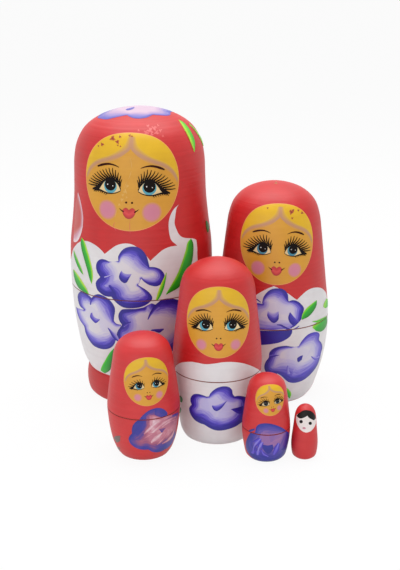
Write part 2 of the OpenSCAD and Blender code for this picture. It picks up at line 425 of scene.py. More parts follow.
def fill_spots(skin, edge):
    """A film inside a closed outline of spots on the skin."""
    flatten = np.array((skin.wide(edge[:, 1]).mean(), 1.0))
    return fill(edge * flatten, lambda p: p / flatten, GRID * max(skin.scale, LEAST_GRID_SHARE))


def flower(place, shape, step, thinnest):
    """One film inside a flower's rim strokes: dark at the rim and paler inwards, streaked along the rim."""
    edge, wide, tone = [], [], []
    for start, outer, inner in shape["rim"]:
        count = max(WASH_POINTS, int(run_of(outer)[-1] / step))
        line = spline(outer, count)
        edge.append(line)
        wide.append(np.linalg.norm(spline(inner, count) - line, axis=1))
        tone.append(np.full(count, start))
    edge, wide, tone = np.vstack(edge), np.concatenate(wide), np.concatenate(tone)
    sheet = fill(edge, np.asarray, step)
    gaps = np.linalg.norm(sheet.spots[:, None] - edge[None], axis=2)
    share = np.minimum(gaps / (FADE * np.maximum(wide, thinnest)), 1.0)
    sheet.tone = (tone + (shape["end"] - tone) * share).min(axis=1)
    sheet.along = run_of(edge)[gaps.argmin(axis=1)]
    sheet.spots = place(sheet.spots)
    return sheet


def outline(skin, *runs):
    """One closed outline from runs of pixels, each smooth, that meet at corners."""
    counts = [skin.count(run_of(run)[-1], ROUND_PX, ROUND_POINTS) for run in runs]
    return np.vstack([skin.see(spline(run, count))[:-1] for run, count in zip(runs, counts)])


def chart(skin, places, count):
    """A run of spots through (azimuth, height) places."""
    return skin.at(spline(places, count))[:-1]


def mirrored(spots, middle):
    """The same run on the other side of an azimuth, in the opposite direction."""
    return np.stack((2 * math.radians(middle) - spots[::-1, 0], spots[::-1, 1]), axis=1)


paints = {}


def lay(skin, paint, coat, *sheets):
    """Puts films of one paint on a doll."""
    paints.setdefault((skin.doll, paint), []).extend((coat, sheet) for sheet in sheets)


# Finishes. Noise is in waves per metre of the object, or per tone and pixel of a brush mark.
CLOUD_WAVES, CLOUD_DETAIL = 130.0, 4.0
RING_WAVES, RING_DETAIL = 560.0, 3.0
BRISTLES_ACROSS, BRISTLES_ALONG, BRISTLE_DETAIL = 12.0, 0.06, 3.0
GRAIN_WAVES, GRAIN_DETAIL, GRAIN_RANGE = (900.0, 900.0, 60.0), 4.0, (0.45, 0.7)
CLOUD_TINT, RING_TINT = 0.65, 0.35
MOTTLE = 0.05
ROUGH_SPREAD = 0.12
CLOUD_RELIEF, BRISTLE_RELIEF = 0.05, 0.04
BUMP_STRENGTH, BUMP_HEIGHT = 0.5, 0.6 * MM
MIDDLE = 0.5


def make(tree, kind, inputs=None, **settings):
    """A shader node with its settings and its inputs, linked where they are sockets."""
    node = tree.nodes.new("ShaderNode" + kind)
    for key, value in settings.items():
        setattr(node, key, value)
    for key, value in (inputs or {}).items():
        if isinstance(value, bpy.types.NodeSocket):
            tree.links.new(value, node.inputs[key])
        else:
            node.inputs[key].default_value = value
    return node


def calc(tree, operation, a, b):
    """The result of a sum with two sockets or numbers."""
    return make(tree, "Math", {0: a, 1: b}, operation=operation).outputs[0]


def plus(tree, a, b):
    """Two sockets or numbers added."""
    return calc(tree, "ADD", a, b)


def times(tree, a, b):
    """Two sockets or numbers multiplied."""
    return calc(tree, "MULTIPLY", a, b)


def noise(tree, detail, inputs, **settings):
    """Cloudy noise."""
    return make(tree, "TexNoise", {"Scale": 1.0, "Detail": detail, **inputs}, **settings).outputs["Fac"]


def swing(tree, source, reach):
    """Noise as a swing about zero."""
    return times(tree, calc(tree, "SUBTRACT", source, MIDDLE), reach)


def ramp(tree, value, stops):
    """A colour ramp."""
    node = make(tree, "ValToRGB", {"Fac": value})
    while len(node.color_ramp.elements) < len(stops):
        node.color_ramp.elements.new(MIDDLE)
    for element, (place, colour) in zip(node.color_ramp.elements, stops):
        element.position = place
        element.color = linear(*colour)
    return node.outputs["Color"]


def grained(tree, space, colour, grain):
    """A colour with upright lines of wood grain in another."""
    stretched = make(tree, "Mapping", {"Vector": space, "Scale": GRAIN_WAVES}).outputs[0]
    lines = noise(tree, GRAIN_DETAIL, {"Vector": stretched})
    low, high = GRAIN_RANGE
    mask = make(tree, "MapRange", {"Value": lines, "From Min": low, "From Max": high}).outputs[0]
    # Behind its sockets for numbers and vectors, a Mix node has its colours at 6 and 7 and their mix at 2.
    return make(tree, "Mix", {0: mask, 6: colour, 7: linear(*grain)}, data_type="RGBA").outputs[2]


def finish(
    name, stops, toned=True, streaks=0.0, blotch=0.0, rough=0.44, rings=0.12, shine=0.55, grain=None,
):
    """Brushed paint under clear lacquer. A toned one takes its colour from the film's tone, broken up by
    brush streaks, and another from clouds and the rings of the lathe."""
    material = bpy.data.materials.new(name)
    material.use_nodes = True
    tree = material.node_tree
    surface = tree.nodes["Principled BSDF"]
    space = make(tree, "TexCoord").outputs["Object"]
    height = make(tree, "SeparateXYZ", {0: space}).outputs[2]
    tone = make(tree, "Attribute", attribute_name="tone").outputs["Fac"]
    along = make(tree, "Attribute", attribute_name="along").outputs["Fac"]
    across = times(tree, tone, BRISTLES_ACROSS)
    hairs = make(tree, "CombineXYZ", {0: times(tree, along, BRISTLES_ALONG), 1: across}).outputs[0]
    bristles = noise(tree, BRISTLE_DETAIL, {"Vector": hairs})
    cloud = noise(tree, CLOUD_DETAIL, {"Vector": space, "Scale": CLOUD_WAVES})
    wave = noise(tree, RING_DETAIL, {"W": times(tree, height, RING_WAVES)}, noise_dimensions="1D")
    if toned:
        shade = plus(tree, plus(tree, tone, swing(tree, bristles, streaks)), swing(tree, cloud, blotch))
    else:
        shade = plus(tree, times(tree, cloud, CLOUD_TINT), times(tree, wave, RING_TINT))
    value = plus(tree, 1.0, swing(tree, cloud, 2.0 * MOTTLE))
    tinted = {"Value": value, "Color": ramp(tree, shade, stops)}
    colour = make(tree, "HueSaturation", tinted).outputs["Color"]
    if grain is not None:
        colour = grained(tree, space, colour, grain)
    brushed = plus(tree, times(tree, wave, rings), times(tree, bristles, BRISTLE_RELIEF))
    bumps = plus(tree, brushed, times(tree, cloud, CLOUD_RELIEF))
    relief = {"Height": bumps, "Strength": BUMP_STRENGTH, "Distance": BUMP_HEIGHT}
    bump = make(tree, "Bump", relief).outputs[0]
    surface.inputs["Specular IOR Level"].default_value = shine
    tree.links.new(colour, surface.inputs["Base Color"])
    tree.links.new(plus(tree, rough, swing(tree, cloud, ROUGH_SPREAD)), surface.inputs["Roughness"])
    tree.links.new(bump, surface.inputs["Normal"])
    return material


def plain(name, dark, light, ends=(0.2, 0.8), **settings):
    """A plain paint between two close colours."""
    return finish(name, tuple(zip(ends, (dark, light))), toned=False, **settings)


VIOLET = (
    (0.0, (24, 6, 130)), (0.22, (34, 17, 153)), (0.37, (76, 58, 191)), (0.55, (138, 127, 213)),
    (0.75, (184, 178, 221)), (1.0, (217, 213, 220)),
)
DUSK = (
    (0.0, (26, 26, 122)), (0.2, (40, 42, 150)), (0.38, (82, 66, 160)), (0.58, (142, 98, 158)),
    (0.78, (186, 124, 158)), (1.0, (226, 206, 216)),
)
FADED = (
    (0.0, (34, 34, 132)), (0.2, (48, 46, 150)), (0.36, (92, 58, 138)), (0.54, (156, 78, 112)),
    (0.74, (196, 120, 138)), (1.0, (230, 208, 216)),
)
CROWN_BLOOM = (
    (0.0, (58, 56, 158)), (0.25, (84, 80, 174)), (0.45, (132, 120, 186)), (0.7, (180, 150, 186)),
    (1.0, (204, 176, 194)),
)
LEAF = (
    (0.0, (208, 228, 62)), (0.16, (126, 210, 30)), (0.34, (14, 178, 16)), (0.68, (4, 152, 8)),
    (1.0, (0, 106, 2)),
)
BLUSH = (
    (0.0, (206, 124, 148)), (0.7, (206, 126, 144)), (0.88, (208, 138, 100)), (1.0, (211, 152, 46)),
)
BAND = (
    (0.0, (222, 178, 24)), (0.2, (204, 154, 70)), (0.42, (188, 138, 104)), (0.68, (192, 138, 92)),
    (1.0, (211, 152, 46)),
)
IRIS = ((0.0, (92, 178, 192)), (0.5, (60, 140, 164)), (1.0, (50, 74, 82)))
DROP = (
    (0.0, (232, 218, 222)), (0.22, (222, 184, 194)), (0.45, (206, 148, 168)), (0.7, (200, 116, 116)),
    (1.0, (194, 72, 68)),
)
MARK = ((0.0, (120, 24, 14)), (0.6, (158, 52, 24)), (1.0, (206, 128, 28)))
# Lip paint, lighter across its middle where a painted highlight lies.
LIPS = (
    (0.0, (180, 26, 28)), (0.34, (204, 40, 42)), (0.52, (216, 62, 62)), (0.74, (200, 38, 40)),
    (1.0, (164, 22, 26)),
)

# The paints of each slot of the record.
FINISHES = {
    "red_lacquer": {
        "red": plain("red_lacquer", (188, 19, 21), (199, 29, 31), (0.25, 0.75), rough=0.5, rings=0.6),
        # A lighter copy of the red: painted light for the brighter light and sheen on the front dolls.
        "lit_red": plain("lit_red_lacquer", (196, 32, 35), (205, 42, 45), (0.25, 0.75), rough=0.5, rings=0.5),
        # Pale pink on the red: a painted highlight where light glares on the lacquer.
        "scuff": plain("lacquer_glare_paint", (200, 36, 37), (224, 110, 106), (0.3, 0.7)),
    },
    "white_lacquer": {
        "white": plain("white_lacquer", (216, 211, 213), (227, 225, 226)),
        "cream": plain("cream_paint", (224, 194, 136), (234, 208, 156)),
        "spark": plain("spark_paint", (236, 234, 230), (248, 246, 242)),
        "pale": plain("pale_face_paint", (226, 216, 212), (236, 228, 226)),
    },
    "skin_paint": {
        "skin": plain("skin_paint", (208, 145, 30), (216, 156, 40)),
        "rim": plain("rim_paint", (226, 144, 80), (236, 160, 94)),
        "blush": finish("blush_paint", BLUSH),
        # Paler than the skin: a painted highlight streak where light glares down the face.
        "crack": plain("face_glare_paint", (211, 156, 52), (226, 182, 100)),
    },
    "hair_paint": {
        "hair": plain("hair_paint", (217, 167, 2), (226, 180, 10)),
        "band": finish("hair_band_paint", BAND, streaks=0.16),
    },
    "pink_paint": {
        "lips": finish("lip_paint", LIPS, streaks=0.15),
        "drop": finish("drop_paint", DROP, streaks=0.3),
        "rose": plain("rose_paint", (196, 118, 138), (210, 138, 154)),
    },
    "violet_paint": {
        "iris": finish("iris_paint", IRIS),
        "petals": finish("petal_paint", VIOLET, streaks=0.46),
        "dusk": finish("dusk_petal_paint", DUSK, streaks=0.45),
        "faded": finish("faded_petal_paint", FADED, streaks=0.5, blotch=0.9),
        "crown": finish("crown_petal_paint", CROWN_BLOOM, streaks=0.4),
    },
    "leaf_paint": {
        "leaf": finish("leaf_paint", LEAF, streaks=0.25),
        "ash": plain("ash_leaf_paint", (92, 74, 70), (118, 98, 92)),
    },
    "line_paint": {
        "line": plain("line_paint", (12, 6, 6), (22, 12, 10), rough=0.5, shine=0.1),
        "brow": plain("brow_paint", (44, 8, 4), (58, 16, 8), rough=0.5, shine=0.1),
        "mark": finish("worn_mark", MARK, streaks=0.3),
        "black": plain("black_paint", (16, 13, 13), (28, 23, 22), shine=0.2),
    },
}
SLOTS = {paint: slot for slot, paints_in in FINISHES.items() for paint in paints_in}
WOOD = plain(
    "turned_wood", (206, 164, 112), (226, 190, 142), rough=0.6, rings=0.25, grain=(188, 142, 92),
)
GROOVE = plain("seam_shade", (118, 56, 50), (150, 84, 74), rough=0.6)
RED_GROOVE = plain("red_seam_shade", (128, 26, 26), (156, 44, 40), rough=0.6)
LACQUERS = FINISHES["red_lacquer"]
# The front dolls, whose red is painted lighter for the light that falls on them.
LIT_RED_DOLLS = (4, 5, 6)

# Pieces.
BODY = {node: body for body, names in frame["record"]["behaviour"]["bodies"].items() for node in names}
DOLLS = {k: (f"doll_{k}_base", f"doll_{k}_top") for k in range(1, 6)} | {6: ("doll_6_solid",)}
PAINTED, BARE, SEAM = range(3)


def add(name, data):
    """A new object in the scene."""
    thing = bpy.data.objects.new(name, data)
    bpy.context.collection.objects.link(thing)
    return thing


def lathe(skin, node):
    """A whole turned piece: paint outside, a shaded seam, and bare wood on the spigot and the inside."""
    line, sharp = skin.lines[node]
    rim = skin.rims[node]
    start = 1 if node.endswith("base") else 0
    lowest = skin.seam + SEAM_ROOM if node.endswith("top") else 0.0
    angles = np.linspace(0.0, 2 * math.pi, TURNS, endpoint=False)
    x, y = skin.axis
    verts, rings = [], []
    for r, z in np.maximum(line, (0.0, lowest)):
        if r < ON_LINE:
            rings.append([len(verts)] * TURNS)
            verts.append((x, y, z))
            continue
        rings.append(list(range(len(verts), len(verts) + TURNS)))
        verts.extend((x + r * math.cos(a), y + r * math.sin(a), z) for a in angles)
    faces, kinds = [], []
    for k in range(len(line) - 1):
        seam = k == rim and not node.endswith("solid")
        kind = PAINTED if start <= k < rim else SEAM if seam else BARE
        for j in range(TURNS):
            after = (j + 1) % TURNS
            quad = (rings[k][j], rings[k][after], rings[k + 1][after], rings[k + 1][j])
            face = list(dict.fromkeys(quad))
            if len(face) > 2:
                faces.append(face)
                kinds.append(kind)
    mesh = bpy.data.meshes.new(node + "_turned")
    mesh.from_pydata(verts, [], faces)
    # The three front dolls take a lighter copy of the red lacquer: painted light, for the brighter light on
    # them.
    lit_red = skin.doll in LIT_RED_DOLLS
    for material in (LACQUERS["lit_red" if lit_red else "red"], WOOD, RED_GROOVE if lit_red else GROOVE):
        mesh.materials.append(material)
    mesh.polygons.foreach_set("material_index", kinds)
    mesh.polygons.foreach_set("use_smooth", [True] * len(kinds))
    corner = {v: k for k in sharp for v in rings[k]}
    work = bmesh.new()
    work.from_mesh(mesh)
    bmesh.ops.recalc_face_normals(work, faces=work.faces)
    for edge in work.edges:
        a, b = (corner.get(v.index) for v in edge.verts)
        edge.smooth = a is None or a != b
    work.to_mesh(mesh)
    work.free()
    piece = add(node + "_turned", mesh)
    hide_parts(node)
    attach(piece, BODY[node])


def slab(skin, films):
    """Closed thin films as one mesh, with their tone and length as attributes."""
    verts, faces, tone, along = [], [], [], []
    share = max(skin.scale, LEAST_LIFT_SHARE)
    for coat, sheet in films:
        first, count = len(verts), len(sheet.spots)
        for lift in (FIRST_LIFT + LIFT_STEP * coat, -ROOT):
            verts.extend(map(tuple, skin.points(sheet.spots, lift * share)))
            tone.extend(sheet.tone)
            along.extend(sheet.along)
        uses = {}
        for face in sheet.faces:
            faces.append([first + k for k in face])
            faces.append([first + count + k for k in reversed(face)])
            for a, b in zip(face, face[1:] + face[:1]):
                uses.setdefault(frozenset((a, b)), []).append((a, b))
        for sides in uses.values():
            if len(sides) == 1:
                a, b = sides[0]
                faces.append([first + b, first + a, first + count + a, first + count + b])
    mesh = bpy.data.meshes.new("film")
    mesh.from_pydata(verts, [], faces)
    for label, values in (("tone", tone), ("along", along)):
        data = mesh.attributes.new(label, "FLOAT", "POINT").data
        data.foreach_set("value", np.asarray(values, dtype=np.float32))
    return mesh


def cut(mesh, height, keep_above):
    """The part of a closed mesh above or below a height, closed again. None where nothing is left."""
    work = bmesh.new()
    work.from_mesh(mesh)
    bmesh.ops.recalc_face_normals(work, faces=work.faces)
    bmesh.ops.bisect_plane(
        work, geom=work.verts[:] + work.edges[:] + work.faces[:], dist=CUT_NEAR,
        plane_co=(0.0, 0.0, height), plane_no=(0.0, 0.0, 1.0),
        clear_inner=keep_above, clear_outer=not keep_above,
    )
    rim = [e for e in work.edges if e.is_boundary]
    if rim:
        bmesh.ops.holes_fill(work, edges=rim, sides=0)
    bmesh.ops.recalc_face_normals(work, faces=work.faces)
    part = None
    if work.faces:
        part = mesh.copy()
        work.to_mesh(part)
    work.free()
    return part


def coat_with(skin, paint, films):
    """Films of one paint as pieces, cut at the seam so that each part rides on its own half."""
    whole = slab(skin, films)
    slot = SLOTS[paint]
    for node in DOLLS[skin.doll]:
        height = skin.lines[node][0][skin.rims[node]][1]
        mesh = cut(whole, height, keep_above=not node.endswith("base"))
        if mesh is None:
            continue
        name = f"{node.removesuffix('_solid')}_{paint}"
        mesh.name = name
        mesh.materials.append(FINISHES[slot][paint])
        mesh.polygons.foreach_set("use_smooth", [True] * len(mesh.polygons))
        co = np.empty(len(mesh.vertices) * 3)
        mesh.vertices.foreach_get("co", co)
        mesh.normals_split_custom_set_from_vertices(skin.normals(co.reshape(-1, 3)).tolist())
        piece = add(name, mesh)
        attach(piece, BODY[node])


skins = {k: Skin(k, nodes) for k, nodes in DOLLS.items()}
largest, second, third, smallest = (skins[k] for k in (1, 2, 3, 6))
for k, nodes in DOLLS.items():
    for node in nodes:
        lathe(skins[k], node)


# Faces, drawn from one stencil in units of half the distance between the eyes, from the point between them.
# Each face has its middle (azimuth in degrees, height in mm), the azimuth between its eyes, its half width
# and half height, how far the eyes lie below the middle and half their distance, in mm, and its tilt in
# degrees. The rest is factors and tones: height of the brows and depth of the mouth, size of eyes and
# mouth, the cheeks' reach, middle tone and size, the turn of the gaze, the tone of the irises, and the
# lashes' number, thickness and length.
FACES = {
    1: {"azimuth": -5.3, "height": 118.4, "eyes": -5.3, "size": (24.5, 23.5), "drop": 2.2, "half": 9.68,
        "tilt": -2.0, "rise": (1.0, 1.0), "eye": 1.0, "mouth": 1.1, "cheek": (1.0, 0.0, 0.52),
        "gaze": 0.0, "iris": 0.12, "lashes": (15, 0.85, 1.06)},
    2: {"azimuth": 0.8, "height": 86.7, "eyes": 0.8, "size": (19.8, 20.0), "drop": 2.46, "half": 7.65,
        "tilt": -3.4, "rise": (1.1, 1.05), "eye": 1.0, "mouth": 1.2, "cheek": (1.07, 0.0, 0.5),
        "gaze": 0.05, "iris": 0.45, "lashes": (13, 1.0, 1.12)},
    3: {"azimuth": 0.6, "height": 62.5, "eyes": 0.9, "size": (16.0, 16.4), "drop": 1.2, "half": 6.35,
        "tilt": -0.4, "rise": (1.05, 1.18), "eye": 1.04, "mouth": 1.16, "cheek": (1.12, 0.3, 0.46),
        "gaze": 0.1, "iris": 0.15, "lashes": (12, 1.0, 1.0)},
    4: {"azimuth": 10.3, "height": 40.4, "eyes": 11.5, "size": (10.8, 11.0), "drop": 1.4, "half": 4.0,
        "tilt": 2.8, "rise": (1.12, 1.08), "eye": 1.06, "mouth": 1.18, "cheek": (1.1, 0.4, 0.5),
        "gaze": 0.08, "iris": 0.35, "lashes": (8, 0.8, 0.8)},
    5: {"azimuth": 6.7, "height": 31.3, "eyes": 10.0, "size": (7.1, 7.2), "drop": 0.93, "half": 2.79,
        "tilt": 7.4, "rise": (1.0, 1.0), "eye": 1.12, "mouth": 1.25, "cheek": (1.0, 0.45, 0.5),
        "gaze": 0.0, "iris": 0.8, "lashes": (8, 1.0, 0.9)},
}
STENCIL_SIZE, STENCIL_RISE = 2.49, 0.227
RIM_WIDTH = 0.012
BAND_TOP = (
    (0.20, 2.50), (0.24, 2.33), (0.33, 2.09), (0.52, 1.86), (0.78, 1.64), (1.13, 1.45), (1.54, 1.29),
    (1.94, 1.07), (2.28, 0.74), (2.44, 0.40),
)
BAND_FOOT = (
    (0.0, 2.50), (0.0, 2.20), (0.0, 1.87), (0.18, 1.67), (0.44, 1.45), (0.80, 1.22), (1.18, 1.08),
    (1.65, 0.90), (2.05, 0.60), (2.41, 0.12),
)
BAND_PLACES, BAND_TONES = (0.0, 0.22, 0.44), (0.5, 0.55, 1.0)
BROW = ((0.53, 0.90), (0.76, 0.98), (1.04, 1.015), (1.32, 0.97), (1.56, 0.89), (1.72, 0.82))
BROW_WIDTHS = (0.025, 0.06, 0.09, 0.11, 0.115, 0.07)
EYE_TOP = ((0.45, -0.22), (0.60, 0.10), (0.97, 0.31), (1.30, 0.14), (1.60, -0.27))
EYE_FOOT = ((0.45, -0.25), (0.64, -0.36), (0.97, -0.43), (1.30, -0.40), (1.60, -0.32))
LID_TOP = (
    (0.42, -0.16), (0.49, 0.03), (0.60, 0.21), (0.77, 0.33), (0.97, 0.385), (1.16, 0.34), (1.37, 0.195),
    (1.58, 0.01), (1.80, -0.17), (2.05, -0.32),
)
LID_FOOT = (
    (0.44, -0.22), (0.53, -0.02), (0.66, 0.13), (0.80, 0.23), (0.97, 0.28), (1.14, 0.24), (1.30, 0.12),
    (1.45, -0.06), (1.62, -0.28), (2.04, -0.40),
)
LOWER_LID = (
    (0.43, -0.24), (0.64, -0.36), (0.88, -0.42), (1.14, -0.43), (1.38, -0.38), (1.60, -0.34), (1.90, -0.37),
)
LOWER_WIDTHS = (0.03, 0.045, 0.05, 0.06, 0.075, 0.10, 0.03)
PUPIL, PUPIL_SIZE = (0.98, 0.01), 0.3
IRIS_DROP, IRIS_SIZE, IRIS_SHADE = 0.075, 0.35, 0.2
GLINTS = ((-0.14, 0.0, 0.03), (0.14, -0.05, 0.022))
LASH_TIPS = (
    (0.38, 0.30), (0.42, 0.46), (0.52, 0.58), (0.65, 0.68), (0.83, 0.81), (1.07, 0.79), (1.30, 0.715),
    (1.48, 0.64), (1.67, 0.56), (1.85, 0.44), (1.98, 0.34), (2.09, 0.21), (2.21, 0.10), (2.31, -0.02),
    (2.31, -0.15),
)
LID_POINTS, LASH_ROOTS = 101, (6, 84)
LASH_MIDDLE, LASH_BOW = 0.55, (0.03, -0.02)
LASH_WIDTHS = (0.09, 0.068, 0.03)
LOWER_LASHES = (1.15, 1.26, 1.37, 1.48, 1.59, 1.70, 1.80, 1.88)
LOWER_LASH_REACH, LOWER_LASH_WIDTHS = (0.09, -0.11), (0.05, 0.035, 0.012)
NOSTRIL, NOSTRIL_SIZE = (0.145, -0.81), 0.055
CHEEK = (1.13, -1.27)
LIP_TOP = (
    (-0.31, 0.10), (-0.25, 0.20), (-0.15, 0.26), (-0.05, 0.21), (0.0, 0.16), (0.05, 0.21), (0.15, 0.26),
    (0.25, 0.20), (0.31, 0.10),
)
LIP_FOOT = (
    (-0.31, 0.10), (-0.26, -0.06), (-0.15, -0.20), (0.0, -0.25), (0.15, -0.20), (0.26, -0.06), (0.31, 0.10),
)
LIP_CORNER = ((0.24, 0.06), (0.35, 0.13), (0.44, 0.20))
LIP_CORNER_WIDTHS = (0.07, 0.05, 0.015)
LIP_DROP = -1.35

# How finely the films of a face are divided: rings and spokes, rows and columns, or rows alone.
FACE_MESH, RIM_MESH = {"rings": 14, "spokes": 96}, {"rings": 2, "spokes": 96}
CHEEK_MESH, IRIS_MESH, PUPIL_MESH = {"rings": 8}, {"rings": 4}, {"rings": 2}
DOT_MESH = {"rings": 1, "spokes": 12}
HAIR_ROWS, HAIR_COLUMNS, BAND_COLUMNS = 31, 9, 7
LIP_MESH, EYE_MESH, LID_MESH = (24, 7), (24, 5), (40, 3)
BROW_ROWS, CORNER_ROWS, LOWER_ROWS, LASH_ROWS, LOWER_LASH_ROWS = 20, 14, 24, 8, 6


def placer(skin, azimuth, middle, unit, tilt):
    """A function from flat face places to spots on the skin, at their true width."""
    turn = math.radians(tilt)
    turned = np.array(((math.cos(turn), math.sin(turn)), (-math.sin(turn), math.cos(turn))))

    def place(points):
        x, y = (np.asarray(points, dtype=float).reshape(-1, 2) * unit @ turned).T
        m = middle + y
        return np.stack((math.radians(azimuth) + x / skin.wide(m), m), axis=1)

    return place


def paint_hair(skin, eyes, look):
    """The hair over a face, with a shaded band along its hem."""
    half = look["half"]
    wide, tall = (size / half for size in look["size"])
    drop = look["drop"] / half
    grow = np.array((wide, tall)) / STENCIL_SIZE
    shift = (0.0, drop - STENCIL_RISE)
    tops, feet = (np.array(points) * grow + shift for points in (BAND_TOP, BAND_FOOT))
    hem = spline((tops + feet) / 2, HAIR_ROWS)
    hem = np.vstack((hem[::-1] * (-1.0, 1.0), hem))
    turns = np.linspace(math.pi, 0.0, len(hem))
    arc = np.stack((wide * np.cos(turns), tall * np.sin(turns) + drop), axis=1)
    lay(skin, "hair", COATS["hair"], between_rows(arc, hem, HAIR_COLUMNS, eyes))
    ends = np.interp(np.linspace(0.0, 1.0, HAIR_ROWS), BAND_PLACES, BAND_TONES)
    for sign in (-1.0, 1.0):
        edges = (spline(points, HAIR_ROWS) * (sign, 1.0) for points in (tops, feet))
        lay(skin, "band", COATS["band"], between_rows(*edges, BAND_COLUMNS, eyes, (0.0, ends)))


def paint_eye(skin, eyes, side, look):
    """One eye with its lids and lashes."""
    def sized(points):
        return (PUPIL + (np.asarray(points) - PUPIL) * look["eye"]) * side

    gaze = np.array((look["gaze"] / 2, 0.0))
    iris = PUPIL * side - gaze - (0.0, IRIS_DROP)
    pupil = PUPIL * side + gaze
    tones = (look["iris"], look["iris"] + IRIS_SHADE)
    lay(skin, "cream", COATS["eye"], between(sized(EYE_TOP), sized(EYE_FOOT), EYE_MESH, eyes))
    lay(skin, "iris", COATS["iris"], disc(eyes, iris, IRIS_SIZE * look["eye"], tones=tones, **IRIS_MESH))
    lay(skin, "line", COATS["pupil"], disc(eyes, pupil, PUPIL_SIZE * look["eye"], **PUPIL_MESH))
    lower = spline(sized(LOWER_LID), LID_POINTS)
    lay(skin, "line", COATS["lid"], between(sized(LID_TOP), sized(LID_FOOT), LID_MESH, eyes))
    lay(skin, "line", COATS["lid"], tapered(eyes, lower, LOWER_WIDTHS, LOWER_ROWS))
    for x, y, size in GLINTS:
        lay(skin, "spark", COATS["glint"], disc(eyes, pupil + (x, y), size, **DOT_MESH))
    lid = spline(sized(LID_TOP), LID_POINTS)
    lashes, thick, long = look["lashes"]
    for k, tip in enumerate(spline(sized(LASH_TIPS), lashes)):
        root = lid[int(np.interp(k, (0, lashes - 1), LASH_ROOTS))]
        way = (tip - root) * long
        bow = root + way * LASH_MIDDLE + LASH_BOW * side
        lash = tapered(eyes, (root, bow, root + way), np.multiply(LASH_WIDTHS, thick), LASH_ROWS)
        lay(skin, "line", COATS["lash"] + LASH_RISE * (k % LASH_COATS), lash)
    for reach in LOWER_LASHES:
        root = lower[np.argmin(np.abs(np.abs(lower[:, 0]) - reach))]
        tip = root + LOWER_LASH_REACH * side
        lash = tapered(eyes, (root, (root + tip) / 2, tip), LOWER_LASH_WIDTHS, LOWER_LASH_ROWS)
        lay(skin, "line", COATS["lower_lash"], lash)


def paint_face(skin, look):
    """A whole painted face."""
    middle = float(skin.up(look["height"] * MM))
    around = placer(skin, look["azimuth"], middle, np.multiply(look["size"], MM), 0.0)
    eyes = placer(skin, look["eyes"], middle - look["drop"] * MM, look["half"] * MM, look["tilt"])
    lay(skin, "skin", COATS["face"], disc(around, (0.0, 0.0), 1.0, **FACE_MESH))
    ring = disc(around, (0.0, 0.0), 1.0 + RIM_WIDTH, inner=1.0 - RIM_WIDTH, **RIM_MESH)
    lay(skin, "rim", COATS["face_rim"], ring)
    paint_hair(skin, eyes, look)
    brow_rise, mouth_drop = look["rise"]
    mouth = np.array((0.0, LIP_DROP * mouth_drop))
    cheek_reach, cheek_tone, cheek_size = look["cheek"]
    for sign in (-1.0, 1.0):
        side = np.array((sign, 1.0))
        cheek = CHEEK * side * (cheek_reach, mouth_drop)
        blush = disc(eyes, cheek, cheek_size, tones=(cheek_tone, 1.0), **CHEEK_MESH)
        lay(skin, "blush", COATS["cheek"], blush)
        brow = tapered(eyes, BROW * side * (1.0, brow_rise), BROW_WIDTHS, BROW_ROWS)
        lay(skin, "brow", COATS["brow"], brow)
        nostril = NOSTRIL * side * (1.0, mouth_drop)
        lay(skin, "brow", COATS["nostril"], disc(eyes, nostril, NOSTRIL_SIZE, **DOT_MESH))
        corner = LIP_CORNER * side * look["mouth"] + mouth
        lay(skin, "brow", COATS["brow"], tapered(eyes, corner, LIP_CORNER_WIDTHS, CORNER_ROWS))
        paint_eye(skin, eyes, side, look)
    lips = (np.array(points) * look["mouth"] + mouth for points in (LIP_TOP, LIP_FOOT))
    lay(skin, "lips", COATS["lips"], between(*lips, LIP_MESH, eyes))


for k, look in FACES.items():
    paint_face(skins[k], look)


# White aprons, by pixels where the photograph shows their edge and by azimuth and height elsewhere.
def apron(skin, *runs):
    """A white apron inside runs of spots."""
    lay(skin, "white", COATS["apron"], fill_spots(skin, np.vstack(runs)))


apron(
    largest,
    outline(
        largest,
        ((73.8, 247.9), (77.7, 243.3), (81.7, 241.2), (86.3, 241), (91.4, 242.8), (97, 246.3),
         (101.6, 250.4), (104.7, 254)),
        ((104.7, 254), (109.3, 250.4), (114.9, 246.3), (121, 244), (127.7, 243.5), (133.8, 245.3),
         (141, 250), (146.5, 256), (150.3, 261)),
        ((150.3, 261), (155.6, 256), (162.6, 250.1), (169.6, 246.9), (177.3, 245.5)),
        ((177.3, 245.5), (171.7, 240.6), (169.6, 235), (168.6, 225.9), (169.6, 217.8), (173.4, 209.7),
         (178.8, 204.5)),
        ((178.8, 204.5), (176.4, 208.6), (175, 217.8), (174.5, 223.2), (176.1, 228.6), (179.4, 235),
         (184.3, 237.8), (192.8, 238.5), (196.3, 239.9)),
    ),
    chart(
        largest, ((53.1, 86.7), (53.3, 82), (52.8, 78.6), (54, 66), (57, 45), (62, 28), (64, 15.2)),
        count=70,
    ),
    chart(largest, ((64, 15.2), (0, 15.2), (-60, 15.2), (-108, 15.2)), count=110),
    chart(largest, ((-108, 15.2), (-106, 40), (-100, 62), (-92, 78)), count=50),
    chart(largest, ((-92, 78), (-84, 72.5), (-76, 73.5), (-66.2, 80.6)), count=20),
)
right_edge = np.vstack((
    outline(
        second,
        ((272, 286), (278.4, 288), (287.6, 293.2), (294.5, 298.4), (297.1, 299.8)),
        ((297.1, 299.8), (301.4, 295.5), (307.1, 290.6), (312.9, 288), (318.1, 287.5), (322.1, 288.6),
         (325.5, 292.1), (326.7, 296.1)),
    ),
    chart(
        second, ((76, 53.9), (80, 47), (82, 40), (81, 24), (77, 13), (68, 6), (58, 2), (54, 0.4)),
        count=60,
    ),
))
hem = chart(second, ((54, 0.4), (0, 0.4), (-60, 0.4)), count=90)
apron(second, right_edge, hem, mirrored(right_edge, -3.0))
